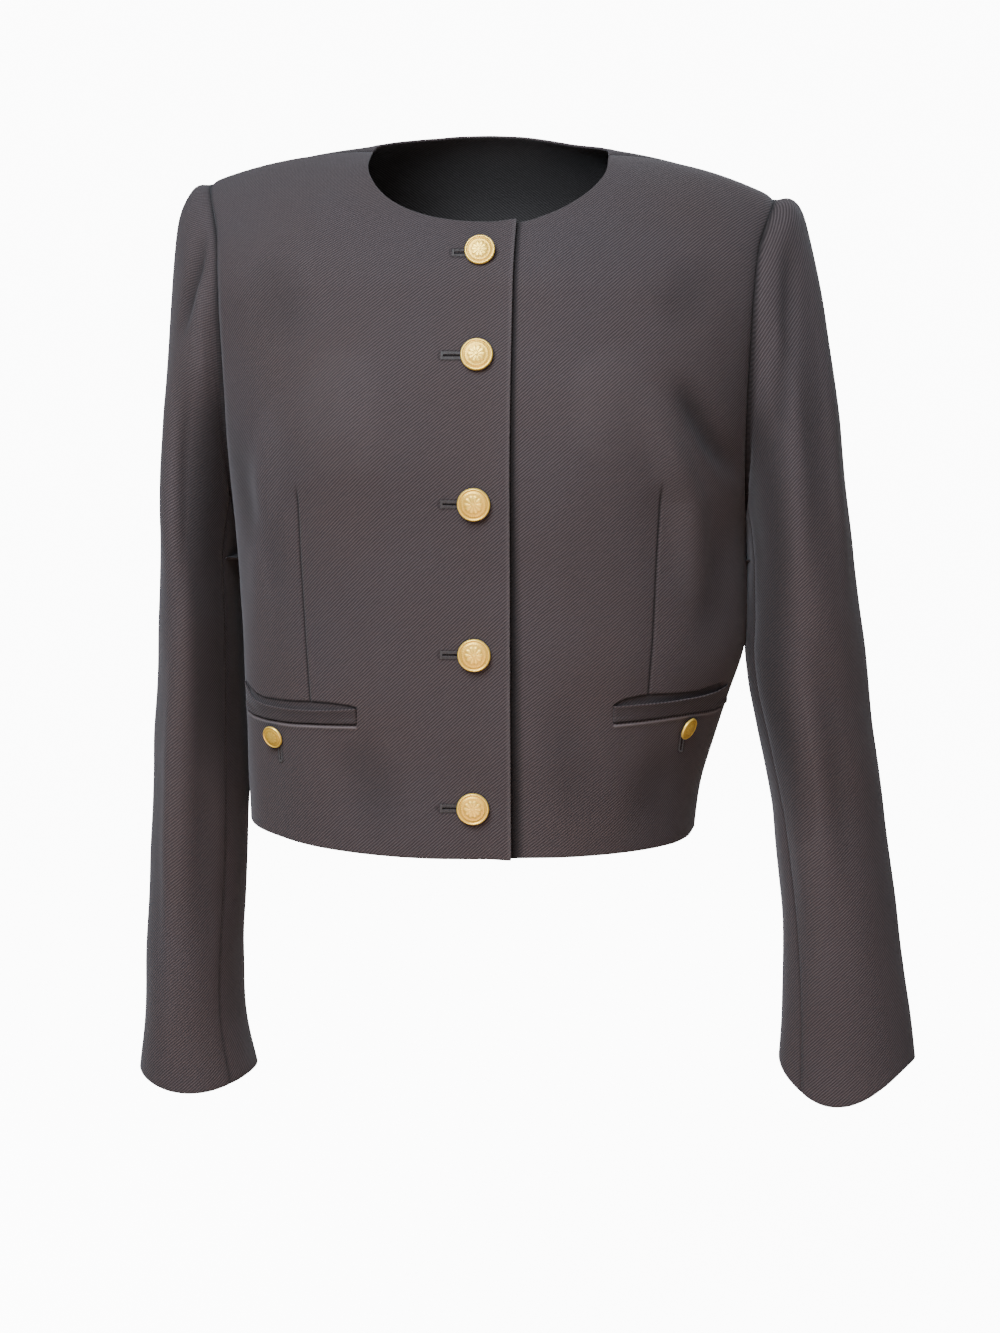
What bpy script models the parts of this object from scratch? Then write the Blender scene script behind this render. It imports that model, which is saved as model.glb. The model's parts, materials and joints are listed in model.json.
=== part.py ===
"""Cropped collarless jacket of wool twill, hollow and in the pose that it keeps when it is worn.

Metres, +Z up. The front faces -Y and +X is the wearer's left. The origin is the middle of the neck
opening, on the line between the neck ends of the two shoulder seams.
"""

import math

import bmesh
import bpy
import numpy as np
from mathutils import Vector

# Cloth and seams
WALL = 0.002
SEAM_GAP = 0.0003
LAYER_STEP = WALL + SEAM_GAP

# Neck opening
NECK_HALF_WIDTH = 0.079
FRONT_NECK_DROP = 0.048
FRONT_NECK_POWER = 2.1
BACK_NECK_RUN = 0.062

# Shoulder line, and how the cloth rolls over it to the front and the back
SHOULDER_HALF_WIDTH = 0.186
SHOULDER_BEND = 1.9
SHOULDER_TILT = 0.019
TIP_DROP = {1: 0.0260, -1: 0.0215}
ROLL_HEIGHT = 0.09
ROLL_LENGTH = 0.14
ROLL_POWER = 1.7
NAPE_LIFT = 0.045
NAPE_HALF_WIDTH = 0.15

# Body below the shoulders
UNDERARM_HEIGHT = -0.24
HEM_HEIGHT = -0.448
HEM_SIDE_RISE = {1: 0.002, -1: 0.010}
LAP = 0.023
LAP_EASE = 0.035
BODY_SQUARENESS = 2.4
BUST_FULLNESS = 0.004
BUST_PLACE = (0.085, -0.195)
BUST_SPREAD = 0.055

BODY_COLUMNS = ("height", "half_width", "centre_x", "front_depth", "back_depth")
BODY_ROWS = (
    (0.060, 0.2140, 0.0000, 0.078, 0.074),
    (0.000, 0.2140, 0.0000, 0.078, 0.080),
    (-0.035, 0.2010, 0.0000, 0.091, 0.088),
    (-0.066, 0.1950, 0.0000, 0.102, 0.094),
    (-0.100, 0.1890, 0.0000, 0.112, 0.102),
    (-0.150, 0.1810, 0.0000, 0.125, 0.110),
    (-0.200, 0.1740, 0.0000, 0.131, 0.111),
    (-0.240, 0.1695, 0.0005, 0.131, 0.107),
    (-0.290, 0.1687, 0.0020, 0.129, 0.100),
    (-0.325, 0.1664, 0.0026, 0.128, 0.096),
    (-0.355, 0.1612, -0.0018, 0.127, 0.094),
    (-0.385, 0.1560, -0.0060, 0.126, 0.094),
    (-0.415, 0.1515, -0.0100, 0.124, 0.095),
    (-0.448, 0.1490, -0.0120, 0.122, 0.097),
)

# Sleeves, as distances from the jacket's middle plane: inner and outer side, front and back
SLEEVE_COLUMNS = ("height", "inner", "outer", "front", "back")
SLEEVE_ROWS = {
    1: (
        (-0.270, 0.1718, 0.2415, -0.074, 0.066),
        (-0.330, 0.1735, 0.2495, -0.071, 0.062),
        (-0.380, 0.1810, 0.2555, -0.068, 0.058),
        (-0.430, 0.1885, 0.2625, -0.065, 0.053),
        (-0.480, 0.1945, 0.2700, -0.062, 0.046),
        (-0.530, 0.1975, 0.2765, -0.060, 0.038),
        (-0.570, 0.1972, 0.2815, -0.059, 0.030),
        (-0.597, 0.1960, 0.2852, -0.059, 0.025),
    ),
    -1: (
        (-0.270, 0.1705, 0.2200, -0.075, 0.068),
        (-0.330, 0.1683, 0.2230, -0.072, 0.064),
        (-0.380, 0.1675, 0.2260, -0.069, 0.060),
        (-0.430, 0.1663, 0.2290, -0.067, 0.055),
        (-0.480, 0.1670, 0.2318, -0.064, 0.049),
        (-0.530, 0.1695, 0.2340, -0.062, 0.041),
        (-0.570, 0.1685, 0.2360, -0.061, 0.034),
        (-0.613, 0.1590, 0.2398, -0.061, 0.029),
    ),
}
CUFF_DROP = {1: 0.025, -1: 0.009}
CUFF_LOW_TURN = {1: math.radians(104.0), -1: math.radians(92.0)}
CUFF_POINT = 2.0
CAP_PULL_TOP = {1: 0.42, -1: 0.34}
CAP_PULL_UNDER = 0.60
CAP_PULL_END = {1: 1.00, -1: 0.90}
UNDER_SLEEVE_COLUMNS = 4
SEAM_SWING = math.radians(30.0)

# How finely each panel is divided
NECK_COLUMNS = 6
SHOULDER_COLUMNS = 6
SIDE_ROWS = 10
ARMHOLE_ROWS = 12
ROW_EASE = 1.5
SPREAD_PASSES = 25
CAP_ROWS = 8
SLEEVE_LOWER_ROWS = 9

# Welt pockets: inner end and outer end as angles round the body, and the top edge at both ends
WELT_WIDTH = 0.0125
WELT_THICKNESS = 0.0018
WELT_SEAT = 0.0007
WELT_STAND_OFF = 0.0028
WELT_COLUMNS = 12
WELT_INNER_X = {1: 0.0875, -1: 0.0745}
WELT_OUTER_ANGLE = math.radians(71.0)
WELT_TOP_INNER = {1: -0.349, -1: -0.352}
WELT_TOP_OUTER = {1: -0.345, -1: -0.352}

# Buttons
FRONT_BUTTON_HEIGHTS = (-0.066, -0.130, -0.223, -0.317, -0.415)
FRONT_BUTTON_DIAMETER = 0.0205
POCKET_BUTTON_DIAMETER = 0.015
POCKET_BUTTON_PLACE = {1: (0.133, -0.368), -1: (-0.133, -0.375)}
BUTTON_STEPS = 16
# Half outline from the middle of the face to the shank, as (radius, height) shares of the radius
BUTTON_PROFILE = (
    (0.00, 0.46),
    (0.42, 0.42),
    (0.76, 0.30),
    (0.84, 0.33),
    (0.94, 0.32),
    (1.00, 0.24),
    (0.93, 0.16),
    (0.24, 0.14),
    (0.24, 0.00),
    (0.00, 0.00),
)

FRONT_NAMES = {1: "front_left", -1: "front_right"}
SIDE_NAMES = {1: "left", -1: "right"}


def hermite(share, start, start_pull, end, end_pull):
    """Point of a cubic that leaves start along start_pull and reaches end along end_pull."""
    share2 = share * share
    share3 = share2 * share
    return (
        (2 * share3 - 3 * share2 + 1) * start
        + (share3 - 2 * share2 + share) * start_pull
        + (3 * share2 - 2 * share3) * end
        + (share3 - share2) * end_pull
    )


def table_curve(rows, columns, name):
    """Smooth function of height through one named column of a table."""
    data = np.array(sorted(rows))
    heights = data[:, 0]
    values = data[:, columns.index(name)]
    slopes = np.gradient(values, heights)

    def curve(height):
        height = np.clip(height, heights[0], heights[-1])
        row = np.clip(np.searchsorted(heights, height) - 1, 0, len(heights) - 2)
        span = heights[row + 1] - heights[row]
        share = (height - heights[row]) / span
        return hermite(share, values[row], slopes[row] * span, values[row + 1], slopes[row + 1] * span)

    return curve


def smooth_step(value, start, end):
    """0 before start and 1 past end, with an even rise between them."""
    share = np.clip((value - start) / (end - start), 0.0, 1.0)
    return share * share * (3.0 - 2.0 * share)


body = {name: table_curve(BODY_ROWS, BODY_COLUMNS, name) for name in BODY_COLUMNS[1:]}
sleeve = {
    side: {name: table_curve(rows, SLEEVE_COLUMNS, name) for name in SLEEVE_COLUMNS[1:]}
    for side, rows in SLEEVE_ROWS.items()
}


def drop_at(level):
    """Length of cloth from the shoulder line down to a level of the plain body form."""
    fall = np.maximum(-np.asarray(level, float), 0.0)
    rolled = np.clip(1.0 - fall / ROLL_HEIGHT, 0.0, 1.0) ** (ROLL_POWER / 2)
    turn = np.arccos(rolled)
    return ROLL_LENGTH * turn / (math.pi / 2) + np.maximum(fall - ROLL_HEIGHT, 0.0)


def level_and_reach(drop):
    """Level below the shoulder line, and the share of the full depth, after a length of cloth."""
    turn = np.clip(drop / ROLL_LENGTH, 0.0, 1.0) * math.pi / 2
    cosine = np.clip(np.cos(turn), 0.0, 1.0)
    fall = ROLL_HEIGHT * (1.0 - cosine ** (2 / ROLL_POWER)) + np.maximum(drop - ROLL_LENGTH, 0.0)
    return -fall, np.sin(turn) ** (2 / ROLL_POWER)


def shoulder_height(x):
    """Height of the shoulder line: a slight tilt, and a fall from the neck to each tip."""
    tip_drop = np.where(x > 0, TIP_DROP[1], TIP_DROP[-1])
    share = (np.abs(x) - NECK_HALF_WIDTH) / (SHOULDER_HALF_WIDTH - NECK_HALF_WIDTH)
    return -SHOULDER_TILT * x - tip_drop * np.clip(share, 0.0, 1.4) ** SHOULDER_BEND


def body_angle(x, drop, behind=False):
    """Angle round the body, from the centre front towards +X, of the cloth at x."""
    level, _ = level_and_reach(drop)
    share = (x - body["centre_x"](level)) / body["half_width"](level)
    power = np.clip(np.abs(share), 0.0, 0.999) ** BODY_SQUARENESS
    angle = np.arctan((power / (1.0 - power)) ** (1.0 / BODY_SQUARENESS))
    if behind:
        angle = math.pi - angle
    return np.sign(share) * angle


def body_point(angle, drop):
    """Outer surface of the body: rounded sections below a shoulder line that the cloth rolls over."""
    angle = np.asarray(angle, float)
    level, reach = level_and_reach(np.asarray(drop, float))
    sine, cosine = np.sin(angle), np.cos(angle)
    corner = (np.abs(sine) ** BODY_SQUARENESS + np.abs(cosine) ** BODY_SQUARENESS) ** (-1 / BODY_SQUARENESS)
    x = body["centre_x"](level) + body["half_width"](level) * corner * sine
    behind = cosine < 0
    fade = smooth_step(level, UNDERARM_HEIGHT, -ROLL_HEIGHT)
    near_neck = np.clip(1.0 - (x / NAPE_HALF_WIDTH) ** 2, 0.0, 1.0) ** 2
    turn = np.clip(drop / ROLL_LENGTH, 0.0, 1.0) * math.pi / 2
    rise = np.where(turn < math.pi / 3, np.sin(1.5 * turn), 1.0) * smooth_step(level, -0.30, -ROLL_HEIGHT)
    z = level + shoulder_height(x) * fade + np.where(behind, NAPE_LIFT * near_neck * rise, 0.0)
    depth = np.where(behind, body["back_depth"](z), body["front_depth"](z))
    y = -depth * corner * cosine * reach
    across, up = BUST_PLACE
    bust = np.exp(-(((np.abs(x) - across) / BUST_SPREAD) ** 2 + ((z - up) / BUST_SPREAD) ** 2))
    y = y - np.where(behind, 0.0, BUST_FULLNESS * bust * np.abs(cosine))
    return np.stack([x, y, z], axis=-1)


def body_normal(angle, drop):
    """Unit direction out of the body's surface."""
    step = 1e-4
    across = body_point(angle + step, drop) - body_point(angle - step, drop)
    down = body_point(angle, drop + step) - body_point(angle, np.maximum(drop - step, 0.0))
    normal = np.cross(down, across)
    return normal / np.linalg.norm(normal, axis=-1, keepdims=True)


def patch(bottom, top, start, end):
    """Blend four edges, each a row of (angle, drop), into an evenly spread grid indexed [row, column]."""
    u = np.linspace(0.0, 1.0, len(bottom))[None, :, None]
    v = row_shares()[:, None, None]
    rows = (1 - v) * bottom[None] + v * top[None]
    columns = (1 - u) * start[:, None] + u * end[:, None]
    corners = (
        (1 - u) * (1 - v) * bottom[0]
        + u * (1 - v) * bottom[-1]
        + (1 - u) * v * top[0]
        + u * v * top[-1]
    )
    grid = rows + columns - corners
    for _ in range(SPREAD_PASSES):
        beside = grid[1:-1, :-2] + grid[1:-1, 2:]
        grid[1:-1, 1:-1] = (beside + grid[:-2, 1:-1] + grid[2:, 1:-1]) / 4
    return grid


def eased(count):
    """Shares from 0 to 1 whose steps shrink towards 1, where the cloth turns most."""
    return 1.0 - (1.0 - np.linspace(0.0, 1.0, count + 1)) ** ROW_EASE


def row_shares():
    """Heights of a panel's rows as shares: even along the side seam, then eased up to the top."""
    lower = SIDE_ROWS / (SIDE_ROWS + ARMHOLE_ROWS)
    upper = lower + (1.0 - lower) * eased(ARMHOLE_ROWS)
    return np.concatenate([np.linspace(0.0, lower, SIDE_ROWS + 1), upper[1:]])


def pairs(angle, drop):
    """Angles and drops as rows of (angle, drop)."""
    return np.stack(np.broadcast_arrays(angle, drop), axis=-1).astype(float)


def front_neck_height(x):
    """Height of the front neckline, a flattened arc between the shoulder seams."""
    share = np.clip(np.abs(x) / NECK_HALF_WIDTH, 0.0, 1.0)
    return -FRONT_NECK_DROP * (1.0 - share ** FRONT_NECK_POWER) ** (1.0 / FRONT_NECK_POWER)


def seam_drop():
    """Drop that leaves half a seam gap beside the shoulder line."""
    reach = SEAM_GAP / 2 / body["front_depth"](0.0)
    return ROLL_LENGTH * math.asin(reach ** (ROLL_POWER / 2)) / (math.pi / 2)


def shoulder_seam(side, behind, columns):
    """Shoulder seam from the neck to the tip."""
    x = side * np.linspace(NECK_HALF_WIDTH, SHOULDER_HALF_WIDTH, columns + 1)
    return pairs(body_angle(x, 0.0, behind), seam_drop())


def armhole(side, behind, share):
    """Armhole from the underarm, share 0, to the shoulder tip, share 1."""
    quarter = share * math.pi / 2
    tip = abs(float(body_angle(side * SHOULDER_HALF_WIDTH, 0.0)))
    angle = math.pi / 2 - (math.pi / 2 - tip) * np.sin(quarter)
    if behind:
        angle = math.pi - angle
    return pairs(side * angle, drop_at(UNDERARM_HEIGHT) * np.cos(quarter))


def hem_drop(x):
    """Drop of the hem, which rises a little towards both sides."""
    rise = np.where(x > 0, HEM_SIDE_RISE[1], HEM_SIDE_RISE[-1])
    half_width = body["half_width"](HEM_HEIGHT)
    return drop_at(HEM_HEIGHT + rise * (np.abs(x) / half_width) ** 2)


def side_edge(side, behind):
    """Side seam from the hem to the underarm, then the armhole up to the shoulder tip."""
    half_gap = SEAM_GAP / 2 / body["front_depth"](UNDERARM_HEIGHT)
    angle = math.pi / 2 + (half_gap if behind else -half_gap)
    hem_x = side * body["half_width"](HEM_HEIGHT)
    drops = np.linspace(hem_drop(hem_x), drop_at(UNDERARM_HEIGHT), SIDE_ROWS + 1)
    seam = pairs(side * angle, drops)
    curve = armhole(side, behind, eased(ARMHOLE_ROWS))
    curve[0] = seam[-1]
    curve[-1, 1] = seam_drop()
    return np.concatenate([seam, curve[1:]])


def hem_edge(first, last, count):
    """Hem between two angles round the body."""
    angles = np.linspace(first, last, count)
    across = body["half_width"](HEM_HEIGHT) * np.sin(angles)
    return pairs(angles, hem_drop(across))


def front_grid(side):
    """Cloth of one front: a straight strip round the centre front and a patch out to the side."""
    strip = []
    for x in (-LAP, 0.0, LAP):
        hem = hem_drop(0.0)
        drops = hem + (drop_at(front_neck_height(x)) - hem) * row_shares()
        strip.append(pairs(body_angle(side * x, drops), drops))
    lap_turn = math.asin((LAP / NECK_HALF_WIDTH) ** (FRONT_NECK_POWER / 2))
    quarter = np.linspace(lap_turn, math.pi / 2, NECK_COLUMNS + 1)
    neck_x = NECK_HALF_WIDTH * np.sin(quarter) ** (2 / FRONT_NECK_POWER)
    neck_drop = drop_at(front_neck_height(neck_x))
    neck = pairs(body_angle(side * neck_x, neck_drop), neck_drop)
    seam = shoulder_seam(side, False, SHOULDER_COLUMNS)
    neck[-1] = seam[0]
    top = np.concatenate([neck, seam[1:]])
    top[0] = strip[-1][-1]
    end = side_edge(side, False)
    top[-1] = end[-1]
    bottom = hem_edge(strip[-1][0, 0], end[0, 0], len(top))
    bottom[0], bottom[-1] = strip[-1][0], end[0]
    main = patch(bottom, top, strip[-1], end)
    return np.concatenate([np.stack(strip[:2], axis=1), main], axis=1)


def back_grid():
    """Cloth of the back, one piece from side to side."""
    quarter = np.linspace(0.0, math.pi, 2 * NECK_COLUMNS + 1)
    neck_x = -NECK_HALF_WIDTH * np.cos(quarter)
    neck_drop = BACK_NECK_RUN * np.sin(quarter)
    neck = pairs(body_angle(neck_x, neck_drop, behind=True), neck_drop)
    middle = NECK_COLUMNS
    right_seam = shoulder_seam(-1, True, SHOULDER_COLUMNS)[::-1]
    left_seam = shoulder_seam(1, True, SHOULDER_COLUMNS)
    top = np.concatenate([right_seam, neck[1:-1], left_seam])
    top[:, 0] = np.mod(top[:, 0], 2 * math.pi)
    top[SHOULDER_COLUMNS + middle, 0] = math.pi
    start = side_edge(-1, True)
    end = side_edge(1, True)
    start[:, 0] = np.mod(start[:, 0], 2 * math.pi)
    top[0], top[-1] = start[-1], end[-1]
    bottom = hem_edge(start[0, 0], end[0, 0], len(top))
    bottom[0], bottom[-1] = start[0], end[0]
    return patch(bottom, top, start, end)


def sleeve_ring(side, turn, height):
    """Point of a hanging sleeve: turn 0 is its outer side, a quarter its front, a half its inner side."""
    table = sleeve[side]
    centre_x = (table["inner"](height) + table["outer"](height)) / 2
    centre_y = (table["front"](height) + table["back"](height)) / 2
    half_width = (table["outer"](height) - table["inner"](height)) / 2
    half_depth = (table["back"](height) - table["front"](height)) / 2
    top, cuff = SLEEVE_ROWS[side][0][0], SLEEVE_ROWS[side][-1][0]
    share = (top - height) / (top - cuff)
    low = CUFF_DROP[side] * np.clip(np.cos(turn - CUFF_LOW_TURN[side]), 0.0, 1.0) ** CUFF_POINT
    x = side * (centre_x + half_width * np.cos(turn))
    y = centre_y - half_depth * np.sin(turn)
    z = height - low * share ** 2
    return np.stack(np.broadcast_arrays(x, y, z), axis=-1)


def armhole_frame(side, turn):
    """Point of the armhole at a sleeve's turn, with the body's normal and the way off its edge."""
    behind = turn > math.pi
    way_up = abs(turn - math.pi) / math.pi
    share = 1.0 - (1.0 - way_up) ** ROW_EASE
    step = 1e-3
    before, here, after = armhole(side, behind, np.clip(np.array([share - step, share, share + step]), 0, 1))
    point = body_point(*here)
    normal = body_normal(here[0], max(here[1], step))
    along = body_point(*after) - body_point(*before)
    off_edge = np.cross(along, normal)
    off_edge /= np.linalg.norm(off_edge)
    if off_edge[2] < 0 and share < 0.5 or off_edge[0] * side < 0 and share >= 0.5:
        off_edge = -off_edge
    return point, normal, off_edge


def swung(turn, share):
    """Turn of a lengthwise line at a share of the way down, as the seams swing to the front and back."""
    return turn - SEAM_SWING * share * math.sin(turn)


def sleeve_grid(side):
    """Cloth of a whole sleeve from the armhole to the cuff, indexed [row, lengthwise line].

    The second table holds the directions in which the lines leave the armhole.
    """
    top, cuff = SLEEVE_ROWS[side][0][0], SLEEVE_ROWS[side][-1][0]
    heights = np.linspace(top, cuff, SLEEVE_LOWER_ROWS + 1)
    turns = np.arange(2 * ARMHOLE_ROWS) * math.pi / ARMHOLE_ROWS
    grid = np.zeros((CAP_ROWS + SLEEVE_LOWER_ROWS + 1, len(turns), 3))
    leaving = np.zeros((len(turns), 3))
    for column, turn in enumerate(turns):
        point, normal, off_edge = armhole_frame(side, turn)
        under = math.sin(turn / 2) ** 2
        start = point + SEAM_GAP * off_edge + 2 * SEAM_GAP * under * normal
        end = sleeve_ring(side, turn, top)
        run = np.linalg.norm(end - start)
        leave = np.array([side * (0.12 + 0.88 * (1 - under)), 0.0, -under])
        leave /= np.linalg.norm(leave)
        leaving[column] = leave
        arrive = sleeve_ring(side, turn, top - 0.01) - end
        arrive /= np.linalg.norm(arrive)
        leave_pull = run * (CAP_PULL_TOP[side] + (CAP_PULL_UNDER - CAP_PULL_TOP[side]) * under)
        arrive_pull = run * CAP_PULL_END[side]
        for row in range(CAP_ROWS + 1):
            share = row / CAP_ROWS
            grid[row, column] = hermite(share, start, leave * leave_pull, end, arrive * arrive_pull)
        for row, height in enumerate(heights[1:], start=1):
            lower_turn = swung(turn, row / SLEEVE_LOWER_ROWS)
            grid[CAP_ROWS + row, column] = sleeve_ring(side, lower_turn, height)
    return grid, leaving


def ring_normals(grid, leaving, side):
    """Unit directions out of a closed tube of points."""
    around = np.roll(grid, -1, axis=1) - np.roll(grid, 1, axis=1)
    down = np.gradient(grid, axis=0)
    down[0] = leaving
    normals = side * np.cross(around, down)
    return normals / np.linalg.norm(normals, axis=-1, keepdims=True)


def make_material(name, colour, roughness, metallic):
    """Plain Principled material."""
    material = bpy.data.materials.new(name)
    material.use_nodes = True
    shader = material.node_tree.nodes["Principled BSDF"]
    shader.inputs["Base Color"].default_value = (*colour, 1.0)
    shader.inputs["Roughness"].default_value = roughness
    shader.inputs["Metallic"].default_value = metallic
    material.diffuse_color = (*colour, 1.0)
    return material


def shell_object(name, outer, inner, collection, material):
    """A flat grid, extruded to a wall, whose two sides are bent to tables of points."""
    rows, columns = outer.shape[0] - 1, outer.shape[1] - 1
    shape = bmesh.new()
    bmesh.ops.create_grid(shape, x_segments=columns, y_segments=rows, size=0.5)
    extruded = bmesh.ops.extrude_face_region(shape, geom=shape.faces[:], use_keep_orig=True)
    inside = {item for item in extruded["geom"] if isinstance(item, bmesh.types.BMVert)}
    for vertex in shape.verts:
        column = round((vertex.co.x + 0.5) * columns)
        row = round((vertex.co.y + 0.5) * rows)
        vertex.co = Vector(inner[row, column] if vertex in inside else outer[row, column])
    bmesh.ops.recalc_face_normals(shape, faces=shape.faces)
    if shape.calc_volume(signed=True) < 0:
        bmesh.ops.reverse_faces(shape, faces=shape.faces)
    mesh = bpy.data.meshes.new(name)
    shape.to_mesh(mesh)
    shape.free()
    mesh.shade_smooth()
    mesh.set_sharp_from_angle(angle=math.radians(40))
    mesh.materials.append(material)
    made = bpy.data.objects.new(name, mesh)
    collection.objects.link(made)
    return made


def add_fronts(collection, cloth):
    """Two fronts. The wearer's right one laps over, so the left one lies a layer lower at the lap."""
    fronts = {}
    for side, name in FRONT_NAMES.items():
        grid = front_grid(side)
        outer = body_point(grid[..., 0], grid[..., 1])
        normals = body_normal(grid[..., 0], grid[..., 1])
        if side > 0:
            step = LAYER_STEP * (1.0 - smooth_step(outer[..., 0], LAP, LAP + LAP_EASE))
            outer = outer - step[..., None] * normals
        fronts[side] = shell_object(name, outer, outer - WALL * normals, collection, cloth)
    return fronts


def add_back(collection, cloth):
    """The back, cut in one piece."""
    grid = back_grid()
    outer = body_point(grid[..., 0], grid[..., 1])
    normals = body_normal(grid[..., 0], grid[..., 1])
    shell_object("back", outer, outer - WALL * normals, collection, cloth)


def add_sleeves(collection, cloth):
    """Two-piece sleeves: an upper sleeve round the outside and an under sleeve against the body."""
    lines = 2 * ARMHOLE_ROWS
    seam = ARMHOLE_ROWS - UNDER_SLEEVE_COLUMNS // 2
    spans = {
        "sleeve_upper": np.arange(-seam, seam + 1),
        "sleeve_under": np.arange(seam, lines - seam + 1),
    }
    for side, side_name in SIDE_NAMES.items():
        grid, leaving = sleeve_grid(side)
        normals = ring_normals(grid, leaving, side)
        for piece, span in spans.items():
            outer = grid[:, span % lines]
            out = normals[:, span % lines]
            for edge, neighbour in ((0, 1), (-1, -2)):
                inward = outer[:, neighbour] - outer[:, edge]
                inward -= np.sum(inward * out[:, edge], axis=-1, keepdims=True) * out[:, edge]
                inward /= np.linalg.norm(inward, axis=-1, keepdims=True)
                outer[:, edge] += inward * SEAM_GAP / 2
            shell_object(f"{piece}_{side_name}", outer, outer - WALL * out, collection, cloth)


def add_welts(fronts, collection, cloth):
    """Pocket welts, laid on the fronts and standing off a little along their top edge."""
    for side, front in fronts.items():
        inner_drop = drop_at(WELT_TOP_INNER[side])
        inner_angle = abs(float(body_angle(side * WELT_INNER_X[side], inner_drop)))
        angles = side * np.linspace(inner_angle, WELT_OUTER_ANGLE, WELT_COLUMNS + 1)
        tops = np.linspace(WELT_TOP_INNER[side], WELT_TOP_OUTER[side], WELT_COLUMNS + 1)
        seat = np.zeros((3, WELT_COLUMNS + 1, 3))
        face = np.zeros_like(seat)
        for row, share in enumerate((0.0, 0.5, 1.0)):
            for column, (angle, top) in enumerate(zip(angles, tops)):
                drop = drop_at(top - WELT_WIDTH * (1.0 - share))
                place = Vector(body_point(angle, drop))
                _, place, normal, _ = front.closest_point_on_mesh(place)
                from_end = min(column, WELT_COLUMNS - column) / 2
                stand_off = WELT_STAND_OFF * share * min(from_end, 1.0)
                seat[row, column] = place + normal * (WELT_SEAT + stand_off)
                face[row, column] = place + normal * (WELT_SEAT + stand_off + WELT_THICKNESS)
        shell_object(f"welt_{SIDE_NAMES[side]}", face, seat, collection, cloth)


def button_mesh(name, diameter, metal):
    """Domed metal button with a raised rim and a short shank, turned about Z."""
    scale = diameter / 2
    profile = bmesh.new()
    vertices = [profile.verts.new((radius * scale, 0.0, height * scale)) for radius, height in BUTTON_PROFILE]
    for upper, lower in zip(vertices, vertices[1:]):
        profile.edges.new((upper, lower))
    mesh = bpy.data.meshes.new(name)
    profile.to_mesh(mesh)
    profile.free()
    mesh.materials.append(metal)
    return mesh


def add_button(name, front, place, mesh, collection):
    """Seat a button on the cloth at a place, its shank a seam gap off the surface."""
    _, seat, normal, _ = front.closest_point_on_mesh(Vector(place))
    made = bpy.data.objects.new(name, mesh)
    made.location = seat + normal * SEAM_GAP
    made.rotation_mode = "QUATERNION"
    made.rotation_quaternion = normal.to_track_quat("Z", "Y")
    turned = made.modifiers.new("turned", "SCREW")
    turned.axis = "Z"
    turned.steps = BUTTON_STEPS
    turned.render_steps = BUTTON_STEPS
    turned.use_merge_vertices = True
    turned.merge_threshold = 0.00002
    collection.objects.link(made)
    return made


def add_buttons(fronts, collection, metal):
    """Five buttons down the centre front and a small one under each pocket."""
    large = button_mesh("button_front", FRONT_BUTTON_DIAMETER, metal)
    for number, height in enumerate(FRONT_BUTTON_HEIGHTS, start=1):
        drop = drop_at(height)
        place = body_point(body_angle(0.0, drop), drop)
        add_button(f"button_front_{number}", fronts[-1], place, large, collection)
    small = button_mesh("button_pocket", POCKET_BUTTON_DIAMETER, metal)
    for side, (x, height) in POCKET_BUTTON_PLACE.items():
        drop = drop_at(height)
        place = body_point(body_angle(x, drop), drop)
        add_button(f"button_pocket_{SIDE_NAMES[side]}", fronts[side], place, small, collection)


def main():
    for old in list(bpy.data.objects):
        bpy.data.objects.remove(old, do_unlink=True)
    collection = bpy.data.collections.new("cropped_jacket")
    bpy.context.scene.collection.children.link(collection)
    cloth = make_material("wool_twill", (0.022, 0.020, 0.023), 0.85, 0.0)
    metal = make_material("gold_metal", (0.78, 0.56, 0.25), 0.32, 1.0)
    fronts = add_fronts(collection, cloth)
    add_back(collection, cloth)
    add_sleeves(collection, cloth)
    bpy.context.view_layer.update()
    add_welts(fronts, collection, cloth)
    add_buttons(fronts, collection, metal)


main()
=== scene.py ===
# %% [markdown]
# # Dressing a cropped wool jacket
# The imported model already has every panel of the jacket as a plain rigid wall. This lesson puts the
# cloth, the sewing and the buttons on it. Lengths are metres, +Z is up, the front faces -Y and +X is
# the wearer's left. The origin is the middle of the neck opening.

# %% Load the plain model
import json
import math

import bmesh
import bpy
import numpy as np
from mathutils import Matrix, Vector
from mathutils.bvhtree import BVHTree
from mathutils.kdtree import KDTree

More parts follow.
